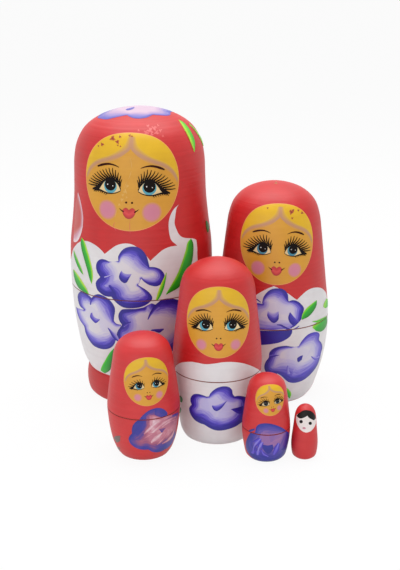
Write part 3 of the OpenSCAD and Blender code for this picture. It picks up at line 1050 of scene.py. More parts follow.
apron(
    third,
    outline(
        third,
        ((176.3, 365.6), (180.9, 362.7), (190.6, 361.8), (197, 362.7), (205.6, 364.2), (214.2, 363.6),
         (222.8, 362.3), (231.4, 362), (241.7, 363), (250.4, 365.6), (256.7, 368.5), (260.1, 370.5)),
    ),
    chart(third, ((72, 33.8), (80, 30), (83, 18), (82, 0.1)), count=40),
    chart(third, ((82, 0.1), (0, 0.1), (-84, 0.1)), count=80),
    chart(third, ((-84, 0.1), (-86, 16), (-82, 30), (-64.9, 37.3)), count=40),
)


# Flowers. The rim is the brush strokes round a flower, in order: the tone at the edge, the stroke's outer
# line of pixels, and an inner line as far from it as the stroke is wide. The wash inside fades to the end
# tone. Marks are brush strokes on top, between two lines of pixels: the tones at both, and the lines.
# Lights are strokes across a flower, with a paint and the tone at their edges: the tone in the middle of
# each stroke, its width, and its line of pixels.
FLOWERS = (
    # The largest doll's upper flower.
    {"doll": 1, "paint": "petals", "coat": 1.0, "end": 1.0, "rim": (
        (0.0, ((118.4, 261), (118.4, 256), (122.4, 250), (128.3, 247), (136.6, 246.9), (142.3, 250.1),
         (146.5, 256), (148.6, 263), (149.6, 267.3)), ((119, 261.3), (120.8, 257.4), (124.7, 255),
         (131, 255.4), (136.6, 258.5), (139.6, 262), (142, 265.5), (145, 267.6), (148.5, 268.4))),
        (0.05, ((149.3, 266.9), (154.9, 267.2), (160.5, 269.4), (164, 273.6), (164.7, 278),
         (162.2, 283.2), (156.3, 286.3), (149.3, 285), (144.4, 282), (141.2, 278.5)), ((150, 269.8),
         (154.6, 270.8), (157.4, 273), (158.6, 275.6), (158.2, 278.4), (155.4, 280.6), (152, 281.2),
         (148.4, 280.8), (145, 279.8), (141.6, 278.3))),
        (0.0, ((138.1, 285), (146.5, 290.2), (150.7, 294.3), (152.2, 298.2), (149.3, 302.6),
         (141.6, 306.8), (131, 308.3), (122.6, 307), (116, 302.3), (111.4, 296.7)), ((137.6, 285.4),
         (142.4, 289.2), (145, 292), (145.8, 294.6), (143.6, 296.8), (138.5, 298.8), (130.3, 299.6),
         (122.6, 297.4), (117.7, 293.2), (115.4, 288.5))),
        (0.0, ((111.4, 296.7), (108, 296.6), (103.5, 295.2), (98, 290.6), (95.9, 285.1), (96.5, 281),
         (100.1, 277.2)), ((114.4, 286), (112, 287.6), (109, 287.6), (105.3, 286.1), (102.7, 283.3),
         (103.6, 280), (109, 276.5))),
        (0.0, ((100.2, 276.9), (97, 271.3), (96.1, 265.7), (97.6, 261.4), (101, 259.1), (105.2, 259.6),
         (108.9, 261.5)), ((109.5, 274.4), (106, 272.2), (103.4, 269.6), (102.4, 267), (103.2, 265),
         (105.7, 263.4), (109.3, 262))),
    ), "marks": (
        (0.0, 0.62, ((119.5, 274.2), (119, 277.4), (121, 281), (124.6, 283.1), (127.1, 282),
         (128.9, 278.8)), ((121.5, 270.4), (122.5, 272), (124.4, 273.4), (126.8, 274), (129.2, 274.2),
         (131.7, 274))),
        (0.3, 0.1, ((110, 284.6), (112.6, 287), (115, 290), (116.6, 293.4)), ((108.4, 285.6),
         (110.4, 288.6), (112.4, 291.6), (114.8, 294.6))),
        (0.9, 0.2, ((104.4, 276.6), (107, 276), (109.6, 275.2), (112.3, 274.7)), ((104.4, 278.4),
         (107, 277.8), (109.6, 276.6), (112.3, 275.2))),
    )},
    # Its flower on the lower left.
    {"doll": 1, "paint": "petals", "coat": 1.5, "end": 0.96, "rim": (
        (0.1, ((84.4, 309.7), (80.3, 306.2), (78.3, 300.5), (78, 294.8), (81.5, 291), (86.6, 293.6),
         (91.5, 297.6)), ((84.9, 308.6), (82.2, 305), (81.9, 301.3), (83.4, 299), (86.4, 298.6),
         (89, 299.4), (91, 300.6))),
        (0.08, ((91.5, 298.4), (94.1, 295.3), (98.7, 294.2), (104.4, 296.2), (110.2, 300.5),
         (114.2, 306.2), (115.1, 311), (114.2, 316.6), (113.9, 320.5)), ((92.6, 301.6), (95.6, 299.6),
         (99.9, 300.6), (103.3, 303.9), (105.6, 308), (107.4, 312), (109, 315.6), (110.4, 318.8),
         (111.6, 321.6))),
        (0.25, ((113.9, 320.6), (115.4, 322.8), (118, 324.2), (121.4, 324.7)), ((112.6, 322.4),
         (114.4, 324.8), (117.4, 326.2), (121, 325.4))),
        (0.08, ((114.9, 343), (112.5, 346.4), (107.9, 348.8), (101.6, 348.9), (94.7, 346.2),
         (90.1, 341.3), (86.1, 333.8), (84.4, 326.3)), ((109.4, 338.8), (108.2, 340), (105.6, 340.9),
         (101.4, 341.2), (96.2, 340.2), (91.6, 337), (88.2, 332.2), (86.2, 326.3))),
        (0.25, ((84.4, 326.4), (79.8, 319.4), (77.3, 312.6), (76.3, 306.8)), ((86.2, 324.6),
         (82.4, 318.2), (80, 312.6), (78.4, 307.6))),
    ), "marks": (
        (0.1, 0.7, ((107.6, 327.4), (109.4, 331), (112.4, 336.6), (115.8, 340.2), (118.8, 341)),
         ((109.8, 328.6), (112.8, 331.2), (115.6, 333.6), (117.8, 336.6), (119.2, 340))),
        (0.25, 0.55, ((91, 313), (90.3, 317), (93.6, 321.5), (96.4, 323), (100, 319.8)), ((92.4, 312.4),
         (93.4, 315.4), (95.4, 317.6), (97.4, 318.6), (99.9, 319.2))),
        (0.2, 0.4, ((90.1, 304.8), (90.4, 301.6), (91.4, 298.8)), ((91.2, 304.8), (91.8, 302),
         (92.8, 299.6))),
    )},
    # Its flower on the lower right, which goes on behind the smaller dolls.
    {"doll": 1, "paint": "petals", "coat": 2.0, "end": 0.9, "rim": (
        (0.0, ((155.4, 304.6), (161.9, 299.7), (169.6, 298.4), (178, 300), (185, 304.6), (189, 311),
         (190, 318)), ((159.4, 309.4), (162.6, 308.2), (169, 308.4), (174.6, 310), (179, 312.8),
         (181.6, 316), (182.6, 320))),
        (0.05, ((190, 318), (191, 326), (188, 336), (181, 345), (170, 352), (157, 356), (146, 356.6),
         (137, 356)), ((182.6, 320), (183, 326.4), (180.6, 333), (175.6, 339), (167, 344.6),
         (156.4, 347.8), (146.4, 348.6), (137, 348.4))),
        (0.0, ((137, 356), (129, 355), (122, 350), (118, 343), (116.7, 336.2), (117.9, 330.9),
         (121.6, 325.6)), ((137, 348.4), (131, 347.8), (126.4, 344.6), (123.6, 340), (122.6, 335.6),
         (123.2, 331.6), (125.2, 328))),
        (0.0, ((122, 324.6), (119.6, 321), (118.4, 316.3), (119.4, 312.4), (122.4, 309.4), (128, 309),
         (136, 308.8), (143.6, 307.4)), ((129.6, 321.2), (127, 319.6), (125.8, 317.4), (125.9, 315.2),
         (127.4, 313.6), (130.6, 313), (136, 312), (142, 310))),
        (0.3, ((143.6, 307.4), (148, 305), (151.6, 303.2)), ((143, 309.4), (147.6, 307), (151, 305))),
    ), "marks": (
        (0.02, 0.55, ((147.4, 319.4), (149.2, 314), (152, 309), (155.6, 304.6)), ((148.4, 319.6),
         (151.4, 315), (155.4, 311), (160, 307.6))),
        (0.1, 0.5, ((131, 321.4), (126, 322.8), (122.6, 325)), ((131, 322.6), (127.4, 324.8),
         (124, 327.4))),
        (0.1, 0.4, ((150.7, 330.6), (154.6, 331.2), (159.4, 332.6), (164, 329.2)), ((151.6, 329.4),
         (155, 329), (159.4, 328.8), (163.6, 328.4))),
    )},
    # The second doll's upper flower.
    {"doll": 2, "paint": "petals", "coat": 1.0, "end": 0.92, "rim": (
        (0.08, ((262.1, 303), (263.5, 297.2), (267, 292.3), (271.6, 289.2), (276.7, 288.3),
         (281.9, 288.8), (285.9, 291.2), (287.9, 294.9), (288.2, 298.9), (288.6, 301.2)), ((263, 303.2),
         (265.4, 299), (269, 296), (273.6, 294.6), (277.4, 295), (280.2, 296.4), (282.4, 298.4),
         (284.2, 300.2), (286, 301.4), (288, 302))),
        (0.05, ((289.3, 301.2), (292.8, 300.1), (297.4, 301.2), (301.4, 304.4), (303.9, 308.3),
         (302.8, 313.4), (301, 319.4), (298.5, 322.5), (295, 326), (291.6, 327.8)), ((289.3, 302.6),
         (292.6, 303.4), (295.8, 305.4), (298, 308.4), (298.4, 311.4), (297.6, 314), (297.2, 317),
         (296.4, 319.8), (294.4, 323), (291.4, 326.4))),
        (0.42, ((291.6, 328.4), (276, 329.6), (262, 330), (247, 329.2)), ((288, 325), (275, 324),
         (262, 322.4), (251, 320))),
        (0.3, ((246.6, 328.4), (244.6, 321), (245.4, 312.6), (249.4, 306), (256.4, 303), (262.5, 304)),
         ((256.4, 327), (253.6, 321.4), (253.4, 316), (255.4, 311.4), (259.4, 308.4), (264, 307.6))),
    ), "marks": (
        (0.16, 0.4, ((289.9, 312), (288.2, 317.3), (289.3, 321.9), (292.8, 325.6)), ((290.8, 313),
         (294.4, 317.4), (297, 319.8), (299.6, 320.6))),
        (0.12, 0.7, ((267.1, 315.4), (268.7, 319), (272.1, 322.4), (275, 322.8), (278.4, 319.6),
         (278.8, 315.4)), ((267.8, 311), (270, 312.2), (272.4, 312.8), (274.6, 312.8), (276.6, 312),
         (278.6, 311.2))),
        (0.1, 0.4, ((276.7, 324.4), (280.7, 324.3), (284.2, 326), (288.6, 328.2), (292, 329.2),
         (295.6, 327.8), (299.1, 325.5)), ((276.9, 325.2), (280.4, 326), (283.6, 328), (287.6, 329.8),
         (291.4, 330), (295.8, 328.8), (299.2, 326.3))),
        (0.16, 0.1, ((244, 341), (253, 344.4), (262.4, 344.8), (272.7, 343.8), (280.7, 342),
         (286.5, 339.1), (289.9, 336.3), (291.9, 332.8), (292.2, 330)), ((244, 329.4), (253, 330.2),
         (261.8, 330.6), (268.6, 330.8), (276.1, 330.8), (281, 330.6), (285, 330.4), (288.6, 330),
         (291.6, 329.6))),
        (0.0, 0.15, ((256.6, 298.4), (258.6, 300), (260.9, 302)), ((256.4, 299.4), (258.2, 301),
         (260.6, 302.5))),
    )},
    # Its lower flower.
    {"doll": 2, "paint": "petals", "coat": 1.5, "end": 0.9, "rim": (
        (0.26, ((298.5, 346.3), (301.7, 341.1), (306.9, 335.3), (312.1, 332.6), (316.9, 332.1),
         (319.5, 334.3), (318.8, 339.6), (321.2, 342.8), (322.2, 347.4), (320.8, 353), (320, 357.6)),
         ((299.1, 347), (303.3, 343.4), (307.2, 340), (311, 338.4), (313.8, 338.8), (315.8, 341),
         (317, 343.4), (317.8, 346), (317.6, 349.4), (316.8, 353), (316.2, 356.6))),
        (0.16, ((320, 357.3), (317.9, 363.6), (314.2, 369.8), (309, 375.6), (302.7, 380.3),
         (295.4, 382.7), (289.7, 382.4), (286, 380.3), (281.3, 375.8), (277, 373.2)), ((316.2, 357),
         (313.7, 361.5), (309.5, 365.6), (304.3, 369.2), (299.1, 371.2), (294.4, 371.8), (290.6, 370.6),
         (288.4, 368.6), (284.6, 368), (280, 369.4))),
        (0.0, ((277, 374.6), (270, 374.4), (265.4, 371.2), (264.3, 366.2), (265.8, 361.5), (268.7, 357.6),
         (269.4, 352.6), (272.9, 348.9), (278.1, 346.8), (285.5, 345.8), (291.2, 346.6)), ((280, 370.6),
         (275, 370.6), (271.6, 368.8), (270.4, 366), (271, 362.6), (272.8, 358.6), (275, 354.2),
         (276.8, 351), (280.8, 348.5), (286, 347.7), (291.2, 347.6))),
    ), "marks": (
        (0.35, 0.6, ((310.6, 356.4), (312.6, 358.6), (315, 359.8), (319.8, 357.6)), ((312, 356.2),
         (314, 357.2), (316.2, 357.2), (319.2, 356))),
        (0.1, 0.5, ((269.2, 357.6), (273, 357), (276.2, 356), (279.4, 355.2)), ((269.6, 355),
         (273, 354.6), (276.4, 354.6), (279.2, 354.9))),
        (0.42, 0.62, ((287.4, 365.4), (286.6, 368), (286.4, 371), (287.2, 374)), ((288.6, 365.6),
         (288.6, 368.2), (289.2, 371.2), (290.4, 374))),
        (0.08, 0.25, ((297.2, 357.9), (297.1, 360.5), (298.4, 362.1), (301.6, 359.6)), ((299.4, 356.4),
         (300.6, 355.8), (301.8, 355.4), (302.8, 355.2))),
    )},
    # The third doll's flower.
    {"doll": 3, "paint": "petals", "coat": 1.0, "end": 0.76, "rim": (
        (0.1, ((209, 396.3), (210.7, 392.9), (215.3, 388.9), (219.9, 386.9), (224.5, 386.2),
         (229.1, 387.1), (232, 390), (232.8, 394), (234.6, 396.5)), ((210, 397), (213, 394.4),
         (217, 392.4), (221, 392), (224.4, 393.2), (226.8, 395.2), (228.8, 397.2), (231, 398.4),
         (234, 398.2))),
        (0.0, ((234.6, 396.5), (238.9, 395.8), (245.8, 397.2), (248.6, 402), (248.6, 410), (246, 417),
         (242.3, 421.8)), ((235, 398.6), (238.9, 399.2), (241.6, 400.8), (242.6, 404.6), (241.8, 409),
         (240, 413), (237.6, 416.8))),
        (0.0, ((242.3, 421.6), (236, 426.2), (228.5, 429.1), (221.6, 430.5), (215.3, 430.2),
         (209.6, 427.9), (204.4, 424.7), (200.4, 423.3), (194.7, 419.9), (190.6, 414.1), (189.2, 408.4),
         (191.5, 404.7)), ((238.4, 416.4), (233.6, 420), (227.4, 422.6), (219.9, 423.6), (213.6, 422.4),
         (208.4, 419.6), (205.4, 417), (202.4, 416.4), (198, 416), (194.6, 413), (193.6, 409.6),
         (195.2, 406.4))),
        (0.0, ((191.7, 404.6), (190.5, 401), (190.9, 397.3), (193.5, 394.3), (198.1, 393.9),
         (202.7, 395.1), (206.7, 396.6)), ((196, 406), (195.2, 403.6), (195.2, 401.4), (196, 399),
         (198.6, 397), (202, 396.8), (206.1, 397.4))),
    ), "marks": (
        (0.3, 0.1, ((230.7, 409.2), (234.4, 411.6), (238, 413.6), (242, 414)), ((233.4, 408.4),
         (236.8, 407.6), (240, 406.8), (243, 406))),
        (0.1, 0.6, ((211.8, 406), (213.6, 409.5), (216.5, 411), (219.9, 409.5), (222.8, 406.7),
         (226.9, 400.9)), ((212.6, 405.2), (214.6, 405.4), (217.4, 404.8), (220, 404), (222.8, 403),
         (226.2, 400.9))),
    )},
    # The fourth doll's flower, painted straight onto red.
    {"doll": 4, "paint": "faded", "coat": 1.0, "end": 0.74, "rim": (
        (0.0, ((139.2, 419.9), (135.6, 421.9), (132.6, 426), (131.8, 430.6), (132, 433.2), (129.6, 436),
         (128.5, 438.8)), ((145.6, 422), (144.6, 424.6), (143, 428), (140.4, 431.4), (137.6, 434),
         (134.6, 437), (132.6, 439.2))),
        (0.12, ((128.5, 438.8), (130, 442.9), (133.6, 446.4), (138.7, 449), (144.3, 449.7),
         (148.4, 449.5), (151.4, 451.4), (156, 452.3), (160.6, 451.5), (164.7, 449.5), (168.8, 446.9),
         (172.4, 442.3), (175.4, 435)), ((131.8, 438.4), (133.4, 441.2), (136.2, 443.2), (140.2, 444.8),
         (144.8, 445.4), (148.6, 445), (152, 446), (156, 446.8), (159.8, 446), (163, 444.4),
         (166.4, 442.4), (169.6, 439.4), (173.4, 433))),
        (0.4, ((178.4, 412.4), (174.4, 413.9), (170.4, 415.6), (167.2, 416.2)), ((178.2, 416.4),
         (174.6, 417.6), (170.8, 418.8), (167, 419.4))),
        (0.12, ((167.2, 415.4), (167.2, 412.6), (163.7, 409.2), (159.1, 407.9), (153.5, 408.7),
         (147.9, 411.2), (142.8, 415.3), (139.7, 418.9)), ((164.2, 416), (162.4, 414.2), (160.2, 413),
         (157.4, 412.8), (153.6, 412.6), (149.6, 414), (145.8, 416.6), (142.6, 419.2))),
    ), "marks": (
        (0.05, 0.3, ((139.4, 420.6), (135.4, 423.4), (133, 428), (132.4, 433)), ((146.4, 421.4),
         (145.6, 426), (143, 430.6), (138.4, 435))),
        (0.1, 0.3, ((155, 409.2), (161, 409.4), (165.8, 412), (166.6, 415.6)), ((154.4, 414.6),
         (158, 416.4), (162, 417), (166.4, 416.4))),
        (0.3, 0.5, ((159, 429.2), (160.4, 431), (161.8, 432.7), (163.6, 430.2)), ((160.4, 428.8),
         (162, 428.4), (164, 428), (165.8, 427.7))),
    ), "lights": ("faded", 0.7, (
        (0.84, 4.6, ((144, 434), (151, 427.4), (160, 420.5), (172, 415.4))),
        (0.9, 4.2, ((149, 436), (156, 429.5), (164, 423), (176, 416.6))),
        (0.76, 3.0, ((144, 438.6), (151, 434.6), (158, 432))),
        (0.96, 6.0, ((151, 442.6), (156, 438), (162, 433))),
        (0.96, 2.6, ((162, 443.6), (167.4, 440.4), (171.6, 435.7), (174.2, 430))),
        (0.82, 2.6, ((157, 444.6), (162, 440), (165, 436), (168.6, 430))),
        (0.9, 3.0, ((162, 427), (168, 422.6), (174.6, 419.6))),
    ))},
    # The fifth doll's flower, painted straight onto red.
    {"doll": 5, "paint": "dusk", "coat": 1.0, "end": 0.6, "rim": (
        (0.1, ((255, 432.6), (256.2, 427), (259.4, 424.2), (265.1, 423.3), (270.9, 423.8), (276.6, 425.4),
         (281.8, 427.6), (285.7, 430.3)), ((258, 432.4), (259.6, 429.6), (262, 428.2), (266, 428),
         (270.4, 428.6), (275.6, 429.8), (280.4, 431), (284.4, 431.8))),
        (0.05, ((289.2, 432.4), (289.7, 435.9), (289.4, 441.2), (288.1, 449), (285, 455.8),
         (281.8, 459.5), (276.6, 462.1), (269.3, 462.9), (262, 462.6), (255.2, 460), (249.9, 455.3),
         (246.3, 448.5), (246, 442.2), (247.8, 437), (250.6, 432)), ((286.4, 432.8), (285.6, 437),
         (284.8, 442), (283.4, 446.4), (280.8, 450), (278, 452.2), (274.4, 453.8), (269.6, 454.4),
         (265.4, 454), (261.6, 452.8), (257.8, 450.8), (254.3, 447.2), (253.3, 443.2), (254.4, 438.5),
         (256.4, 435.4))),
    ), "marks": (
        (0.0, 0.3, ((248.4, 430.8), (250.8, 429.3), (252.8, 429), (254.6, 428)), ((249, 431.8),
         (251.2, 431.6), (253, 431), (254.6, 430.4))),
        (0.05, 0.3, ((281.2, 449.6), (284, 450), (286.6, 449.4)), ((283.6, 447), (285.6, 445.6),
         (287.6, 444))),
        (0.1, 0.22, ((262.4, 444.8), (263, 448.5), (264.6, 451.1), (268.2, 453.8), (271.4, 451.6),
         (273.5, 448.4)), ((263, 444.6), (265, 445), (267.2, 445.4), (269.4, 445.2), (271.2, 444.7),
         (272.6, 444.4))),
    ), "lights": ("petals", 0.28, (
        (0.48, 9.0, ((252.6, 453.6), (254.4, 445.6), (260.6, 438.6))),
        (0.54, 8.0, ((257.6, 455), (258.8, 448), (262.4, 442))),
        (0.5, 3.0, ((261.6, 450), (263.6, 454), (268.4, 456.4))),
        (0.48, 5.6, ((273.6, 454.6), (276.4, 449), (278.8, 443))),
    ))},
)
# Leaves and other marks in leaf paint: the tones at the lime edge and the dark edge, and both edges.
LEAVES = {
    1: (
        (0.02, 0.9, ((82, 237.7), (84.8, 242), (87.9, 251.6), (90.6, 261.6), (92.5, 270), (93, 277.4),
         (91.9, 283.6)), ((81.8, 238.4), (81, 242.6), (82, 250), (84.6, 259.6), (87.6, 270), (89.6, 278),
         (91.6, 283.4))),
        (0.1, 0.9, ((74.1, 250.4), (75.9, 255), (78.8, 261.6), (81.7, 268.8), (83.5, 274.4)),
         ((74, 251.4), (74.6, 257), (77.1, 264.4), (80.2, 270.8), (83, 274.3))),
        (0.0, 0.9, ((73.8, 269.3), (78.2, 275), (82.8, 282), (86.8, 288.7), (88.9, 293.8)),
         ((73.7, 270.6), (74.3, 276), (76.4, 283), (80.4, 289.2), (88.4, 293.9))),
        (0.1, 1.0, ((190.7, 238.5), (187.2, 243), (185.6, 250), (182.5, 260), (178.4, 271.4),
         (173.4, 281), (165.8, 294.2)), ((190.9, 238.6), (193, 244), (192.8, 254), (191, 264),
         (186, 274.6), (179.4, 286.4), (166.4, 294.4))),
        (0.0, 0.45, ((166.3, 272.3), (163.6, 278.4), (160.4, 285), (157.8, 292), (155.6, 300.2)),
         ((166.5, 272.6), (165.6, 279.4), (163.6, 288), (160.6, 295.6), (157.4, 300.4))),
        (0.2, 1.0, ((113.7, 348.2), (109.6, 353), (105.4, 360), (101, 369.2), (104.4, 372.6)),
         ((113.9, 348.8), (112.9, 356), (111.7, 363), (110.2, 369.8), (105.4, 373))),
        (0.05, 0.35, ((178.6, 120), (181.6, 124.7), (186.8, 134.2), (191, 143.6), (194.1, 151.8)),
         ((178.8, 120.2), (184.2, 123.4), (190.6, 132), (194.4, 141.6), (194.3, 151.6))),
        (0.1, 0.3, ((189, 124), (195, 131), (199.8, 138.4), (203, 146)), ((189.2, 123.6), (195.6, 130.4),
         (200.6, 137.8), (203.8, 145.6))),
        (0.95, 1.0, ((206.4, 220.6), (208.2, 224), (208.8, 228.6), (207.6, 232.4)), ((205.6, 221),
         (205.8, 225), (206.4, 229), (207.2, 232.2))),
    ),
    2: (
        (0.1, 0.95, ((316.6, 300.1), (311.2, 304.1), (306, 308.7), (302.4, 314), (301.3, 319.5)),
         ((316.7, 300.6), (316.2, 305.6), (312.9, 311.6), (308, 316.8), (301.8, 319.7))),
        (0.1, 0.85, ((326.2, 315.9), (320.3, 319.4), (315.8, 323.3), (312.3, 327.1), (315.4, 330.4)),
         ((326.6, 316.4), (326.8, 322.8), (324.6, 328.4), (320.6, 331.6), (316, 330.9))),
        (0.1, 0.5, ((324.6, 317), (320, 319), (316, 320.6), (312.2, 321.3)), ((324.4, 317.8),
         (320.4, 320.6), (316.4, 322.2), (312.4, 321.8))),
        (0.1, 0.35, ((326.4, 298.6), (324.4, 302), (323.2, 306.6), (325, 308)), ((327.6, 299),
         (327.8, 302.6), (327.6, 306), (325.6, 308.2))),
        (0.1, 0.8, ((286.6, 387.6), (289.6, 390.4), (291.2, 393.6), (290, 397.9)), ((282, 392),
         (285.4, 394.6), (287.6, 396.6), (289.2, 398.2))),
    ),
    3: (
        (0.9, 1.0, ((180.2, 395.4), (181.6, 396.6), (182.7, 399.4), (182.2, 402.2)), ((179.2, 396),
         (179, 398.4), (180, 401.2), (181.6, 402.4))),
        (0.9, 1.0, ((179.6, 406.4), (181, 408), (181.2, 410.6), (180.2, 413)), ((178.6, 407),
         (178.4, 409.4), (179, 411.8), (179.6, 413))),
    ),
}
# The flower on the largest doll's crown, in mm from its axis as seen from above.
CROWN = {"end": 1.0, "rim": (
    (0.22, ((-20, -3.5), (-19.4, -6.4), (-15.2, -12.6), (-10.1, -13.8), (-4.7, -13.4)), ((-15, -2.5),
     (-14.2, -5), (-11.5, -8.5), (-8.5, -10.2), (-4.6, -12))),
    (0.1, ((-4.2, -14.5), (-1.6, -16.8), (1.7, -17.2), (5, -15.7), (7.5, -12.2)), ((-3.8, -13.2),
     (-1.2, -13.2), (1.5, -13.4), (4.4, -12.8), (6.9, -11.2))),
    (0.25, ((8.4, -11.9), (9.7, -11.6), (13.8, -9.5), (15.8, -6), (15.5, -2)), ((8.2, -9.4), (9.5, -8.6),
     (11.2, -7), (12, -4.6), (11.4, -1.4))),
    (0.1, ((15.5, -2), (16.2, 4), (13, 10), (7, 14), (1, 13)), ((11.4, -1.4), (11.5, 3), (9.5, 7),
     (5.5, 9.5), (1, 9.5))),
    (0.1, ((1, 13), (-6, 15.5), (-13, 12.5), (-18, 6), (-20, -3)), ((1, 9.5), (-5, 10.5), (-10, 8.5),
     (-13.5, 4), (-15, -2))),
)}
# The mark in its middle: the tones at two lines, and the lines.
CROWN_MARK = (
    0.05, 0.5,
    ((-6, -6), (-5, -7.4), (-3, -6.6), (-1.8, -4)),
    ((-5.4, -4), (-4.4, -3.4), (-3.4, -2.6), (-2, -1.6)),
)
# The drop at the largest doll's side, pale at its rim.
DROP_SHAPE = {"end": 1.0, "rim": (
    (0.1, ((78.1, 192.5), (79.8, 198.3), (81.8, 207.5), (83.1, 217.5), (82.7, 226.7)), ((77.6, 193),
     (78.9, 198.6), (80.7, 207.8), (81.8, 217.6), (81.2, 226.2))),
    (0.0, ((82.7, 226.7), (80.6, 235), (77.7, 240.8), (74.8, 242.3), (73.6, 241)), ((81.2, 226.2),
     (78.8, 231.6), (76.8, 235.6), (75.2, 236.6), (74.2, 235.6))),
    (1.0, ((73.6, 241), (74.2, 228), (75, 214), (76, 202), (78.1, 192.5)), ((74.2, 241), (74.8, 228),
     (75.6, 214), (76.6, 202), (78.2, 193.4))),
)}
# Painted highlight streaks down the largest doll's face and below it: a width and a line of pixels.
FACE_GLARE_STREAKS = (
    (0.5, ((130, 158), (131.2, 162.4), (131.8, 168.3))),
    (0.55, ((131.2, 171), (130.2, 175), (128.6, 179))),
    (0.4, ((127.4, 181.4), (125.6, 185), (124.2, 189))),
    (0.35, ((117.4, 208), (116.4, 212), (115, 217.4))),
)
LACQUER_GLARE_STREAKS = (
    (0.5, ((130, 220), (129.8, 227), (130.2, 234))), (0.5, ((115, 222), (113.6, 226), (116, 230.6))),
)
# Spots by place and size in pixels: painted highlights along the glare on the largest doll's face and on
# its crown, worn spots in the hair of two dolls and beside the fourth doll's flower.
FACE_GLARE_SPOTS = (
    (127.4, 186, 1.1), (125.2, 191.6, 1.7), (122.8, 195, 1.0), (126.6, 197.4, 0.8), (122, 199.6, 1.3),
    (119.4, 204.6, 0.9),
)
LACQUER_GLARE_SPOTS = (
    (146, 133, 2.0), (150, 130.4, 2.4), (154.4, 128, 2.0), (156.6, 132.6, 1.7), (151.6, 134.6, 1.4),
    (160.4, 130.6, 1.3), (148, 126, 1.2), (142.4, 136.6, 1.0), (163, 136, 0.9), (138.6, 130.6, 1.0),
    (158, 125.6, 1.0),
)
HAIR_SPOTS = {
    1: ((102.4, 144.5, 1.6), (112.7, 138.5, 2.4), (117.5, 141.9, 1.8), (120.1, 136.8, 1.2),
        (117.9, 145.4, 0.8), (120.5, 146.4, 0.8), (129.8, 135.6, 1.2), (98.6, 146, 0.8), (132, 136.4, 0.9)),
    2: ((291.3, 212.1, 2.2), (293, 210.4, 1.3), (298.3, 210.4, 1), (302, 212.9, 1.2), (292.2, 218.2, 1),
        (267.7, 208.1, 0.9), (276, 183, 1.1)),
}
ASH_SPOTS = ((117.2, 438.8, 3.4), (117.6, 449.4, 2.6))
# The first mesh is for the painted highlight spots.
GLARE_SPOT_MESH = {"rings": 2, "spokes": 24, "wobble": 0.4}
HAIR_SPOT_MESH = {"rings": 2, "spokes": 18, "wobble": 0.3}
ASH_MESH = {"rings": 3, "spokes": 18, "wobble": 0.14}
LIGHT_TAPER, LIGHT_ROWS = (0.35, 1.0, 0.35), 16
# The taper and rows of the painted highlight streaks.
STREAK_TAPER, STREAK_ROWS = (0.35, 1.0, 1.0, 0.35), 12
CROWN_DEPTH, CROWN_MESH = 12 * MM, (30, 6)


def over_crown(skin):
    """A function from places seen from above, in mm from the axis, to spots on the skin."""
    high = skin.z > skin.z[-1] - CROWN_DEPTH
    radii, lengths = skin.r[high][::-1], skin.m[high][::-1]

    def place(points):
        x, y = (np.asarray(points, dtype=float).reshape(-1, 2) * MM).T
        return np.stack((np.arctan2(x, -y), np.interp(np.hypot(x, y), radii, lengths)), axis=1)

    return place


def paint_flower(skin, shape):
    """A flower with its marks and lights."""
    paint = shape["paint"]
    lay(skin, paint, shape["coat"], flower(skin.see, shape, WASH_STEP * skin.fine, THINNEST))
    for rank, (start, end, outer, inner) in enumerate(shape["marks"]):
        lay(skin, paint, COATS["mark"] + MARK_RISE * rank, brush(skin, outer, inner, (start, end)))
    if "lights" not in shape:
        return
    light, edge, strokes = shape["lights"]
    for rank, (middle, width, route) in enumerate(strokes):
        stroke = tapered(skin.see, route, np.multiply(LIGHT_TAPER, width), LIGHT_ROWS, THIN_PX)
        stroke.tone = edge + (middle - edge) * (1.0 - np.abs(2.0 * stroke.tone - 1.0))
        lay(skin, light, COATS["light"] + LIGHT_RISE * rank, stroke)


def dab(skin, paint, coat, mesh, spots):
    """Round spots."""
    for x, y, size in spots:
        lay(skin, paint, coat, disc(skin.see, (x, y), size, **mesh))


def glare_streaks(skin, paint, strokes):
    """Thin strokes of painted highlight that taper at both ends."""
    for width, route in strokes:
        widths = np.multiply(STREAK_TAPER, width)
        lay(skin, paint, COATS[paint], tapered(skin.see, route, widths, STREAK_ROWS, THIN_PX))


for shape in FLOWERS:
    paint_flower(skins[shape["doll"]], shape)
for k, leaves in LEAVES.items():
    for rank, (start, end, outer, inner) in enumerate(leaves):
        leaf = brush(skins[k], outer, inner, (start, end))
        lay(skins[k], "leaf", COATS["leaf"] + MARK_RISE * rank, leaf)
crown = over_crown(largest)
lay(largest, "crown", COATS["crown"], flower(crown, CROWN, WASH_STEP / 2, THINNEST / 2))
start, end, outer, inner = CROWN_MARK
lay(largest, "crown", COATS["mark"], between(outer, inner, CROWN_MESH, crown, (start, end)))
for k, spots in HAIR_SPOTS.items():
    dab(skins[k], "mark", COATS["mark"], HAIR_SPOT_MESH, spots)
lay(largest, "drop", COATS["drop"], flower(largest.see, DROP_SHAPE, WASH_STEP, THINNEST))
# Painted highlights where light glares on the largest doll: streaks and spots on its face, crown and red.
glare_streaks(largest, "crack", FACE_GLARE_STREAKS)
glare_streaks(largest, "scuff", LACQUER_GLARE_STREAKS)
dab(largest, "crack", COATS["face_glare_spot"], GLARE_SPOT_MESH, FACE_GLARE_SPOTS)
dab(largest, "scuff", COATS["scuff"], GLARE_SPOT_MESH, LACQUER_GLARE_SPOTS)
dab(skins[4], "ash", COATS["ash"], ASH_MESH, ASH_SPOTS)


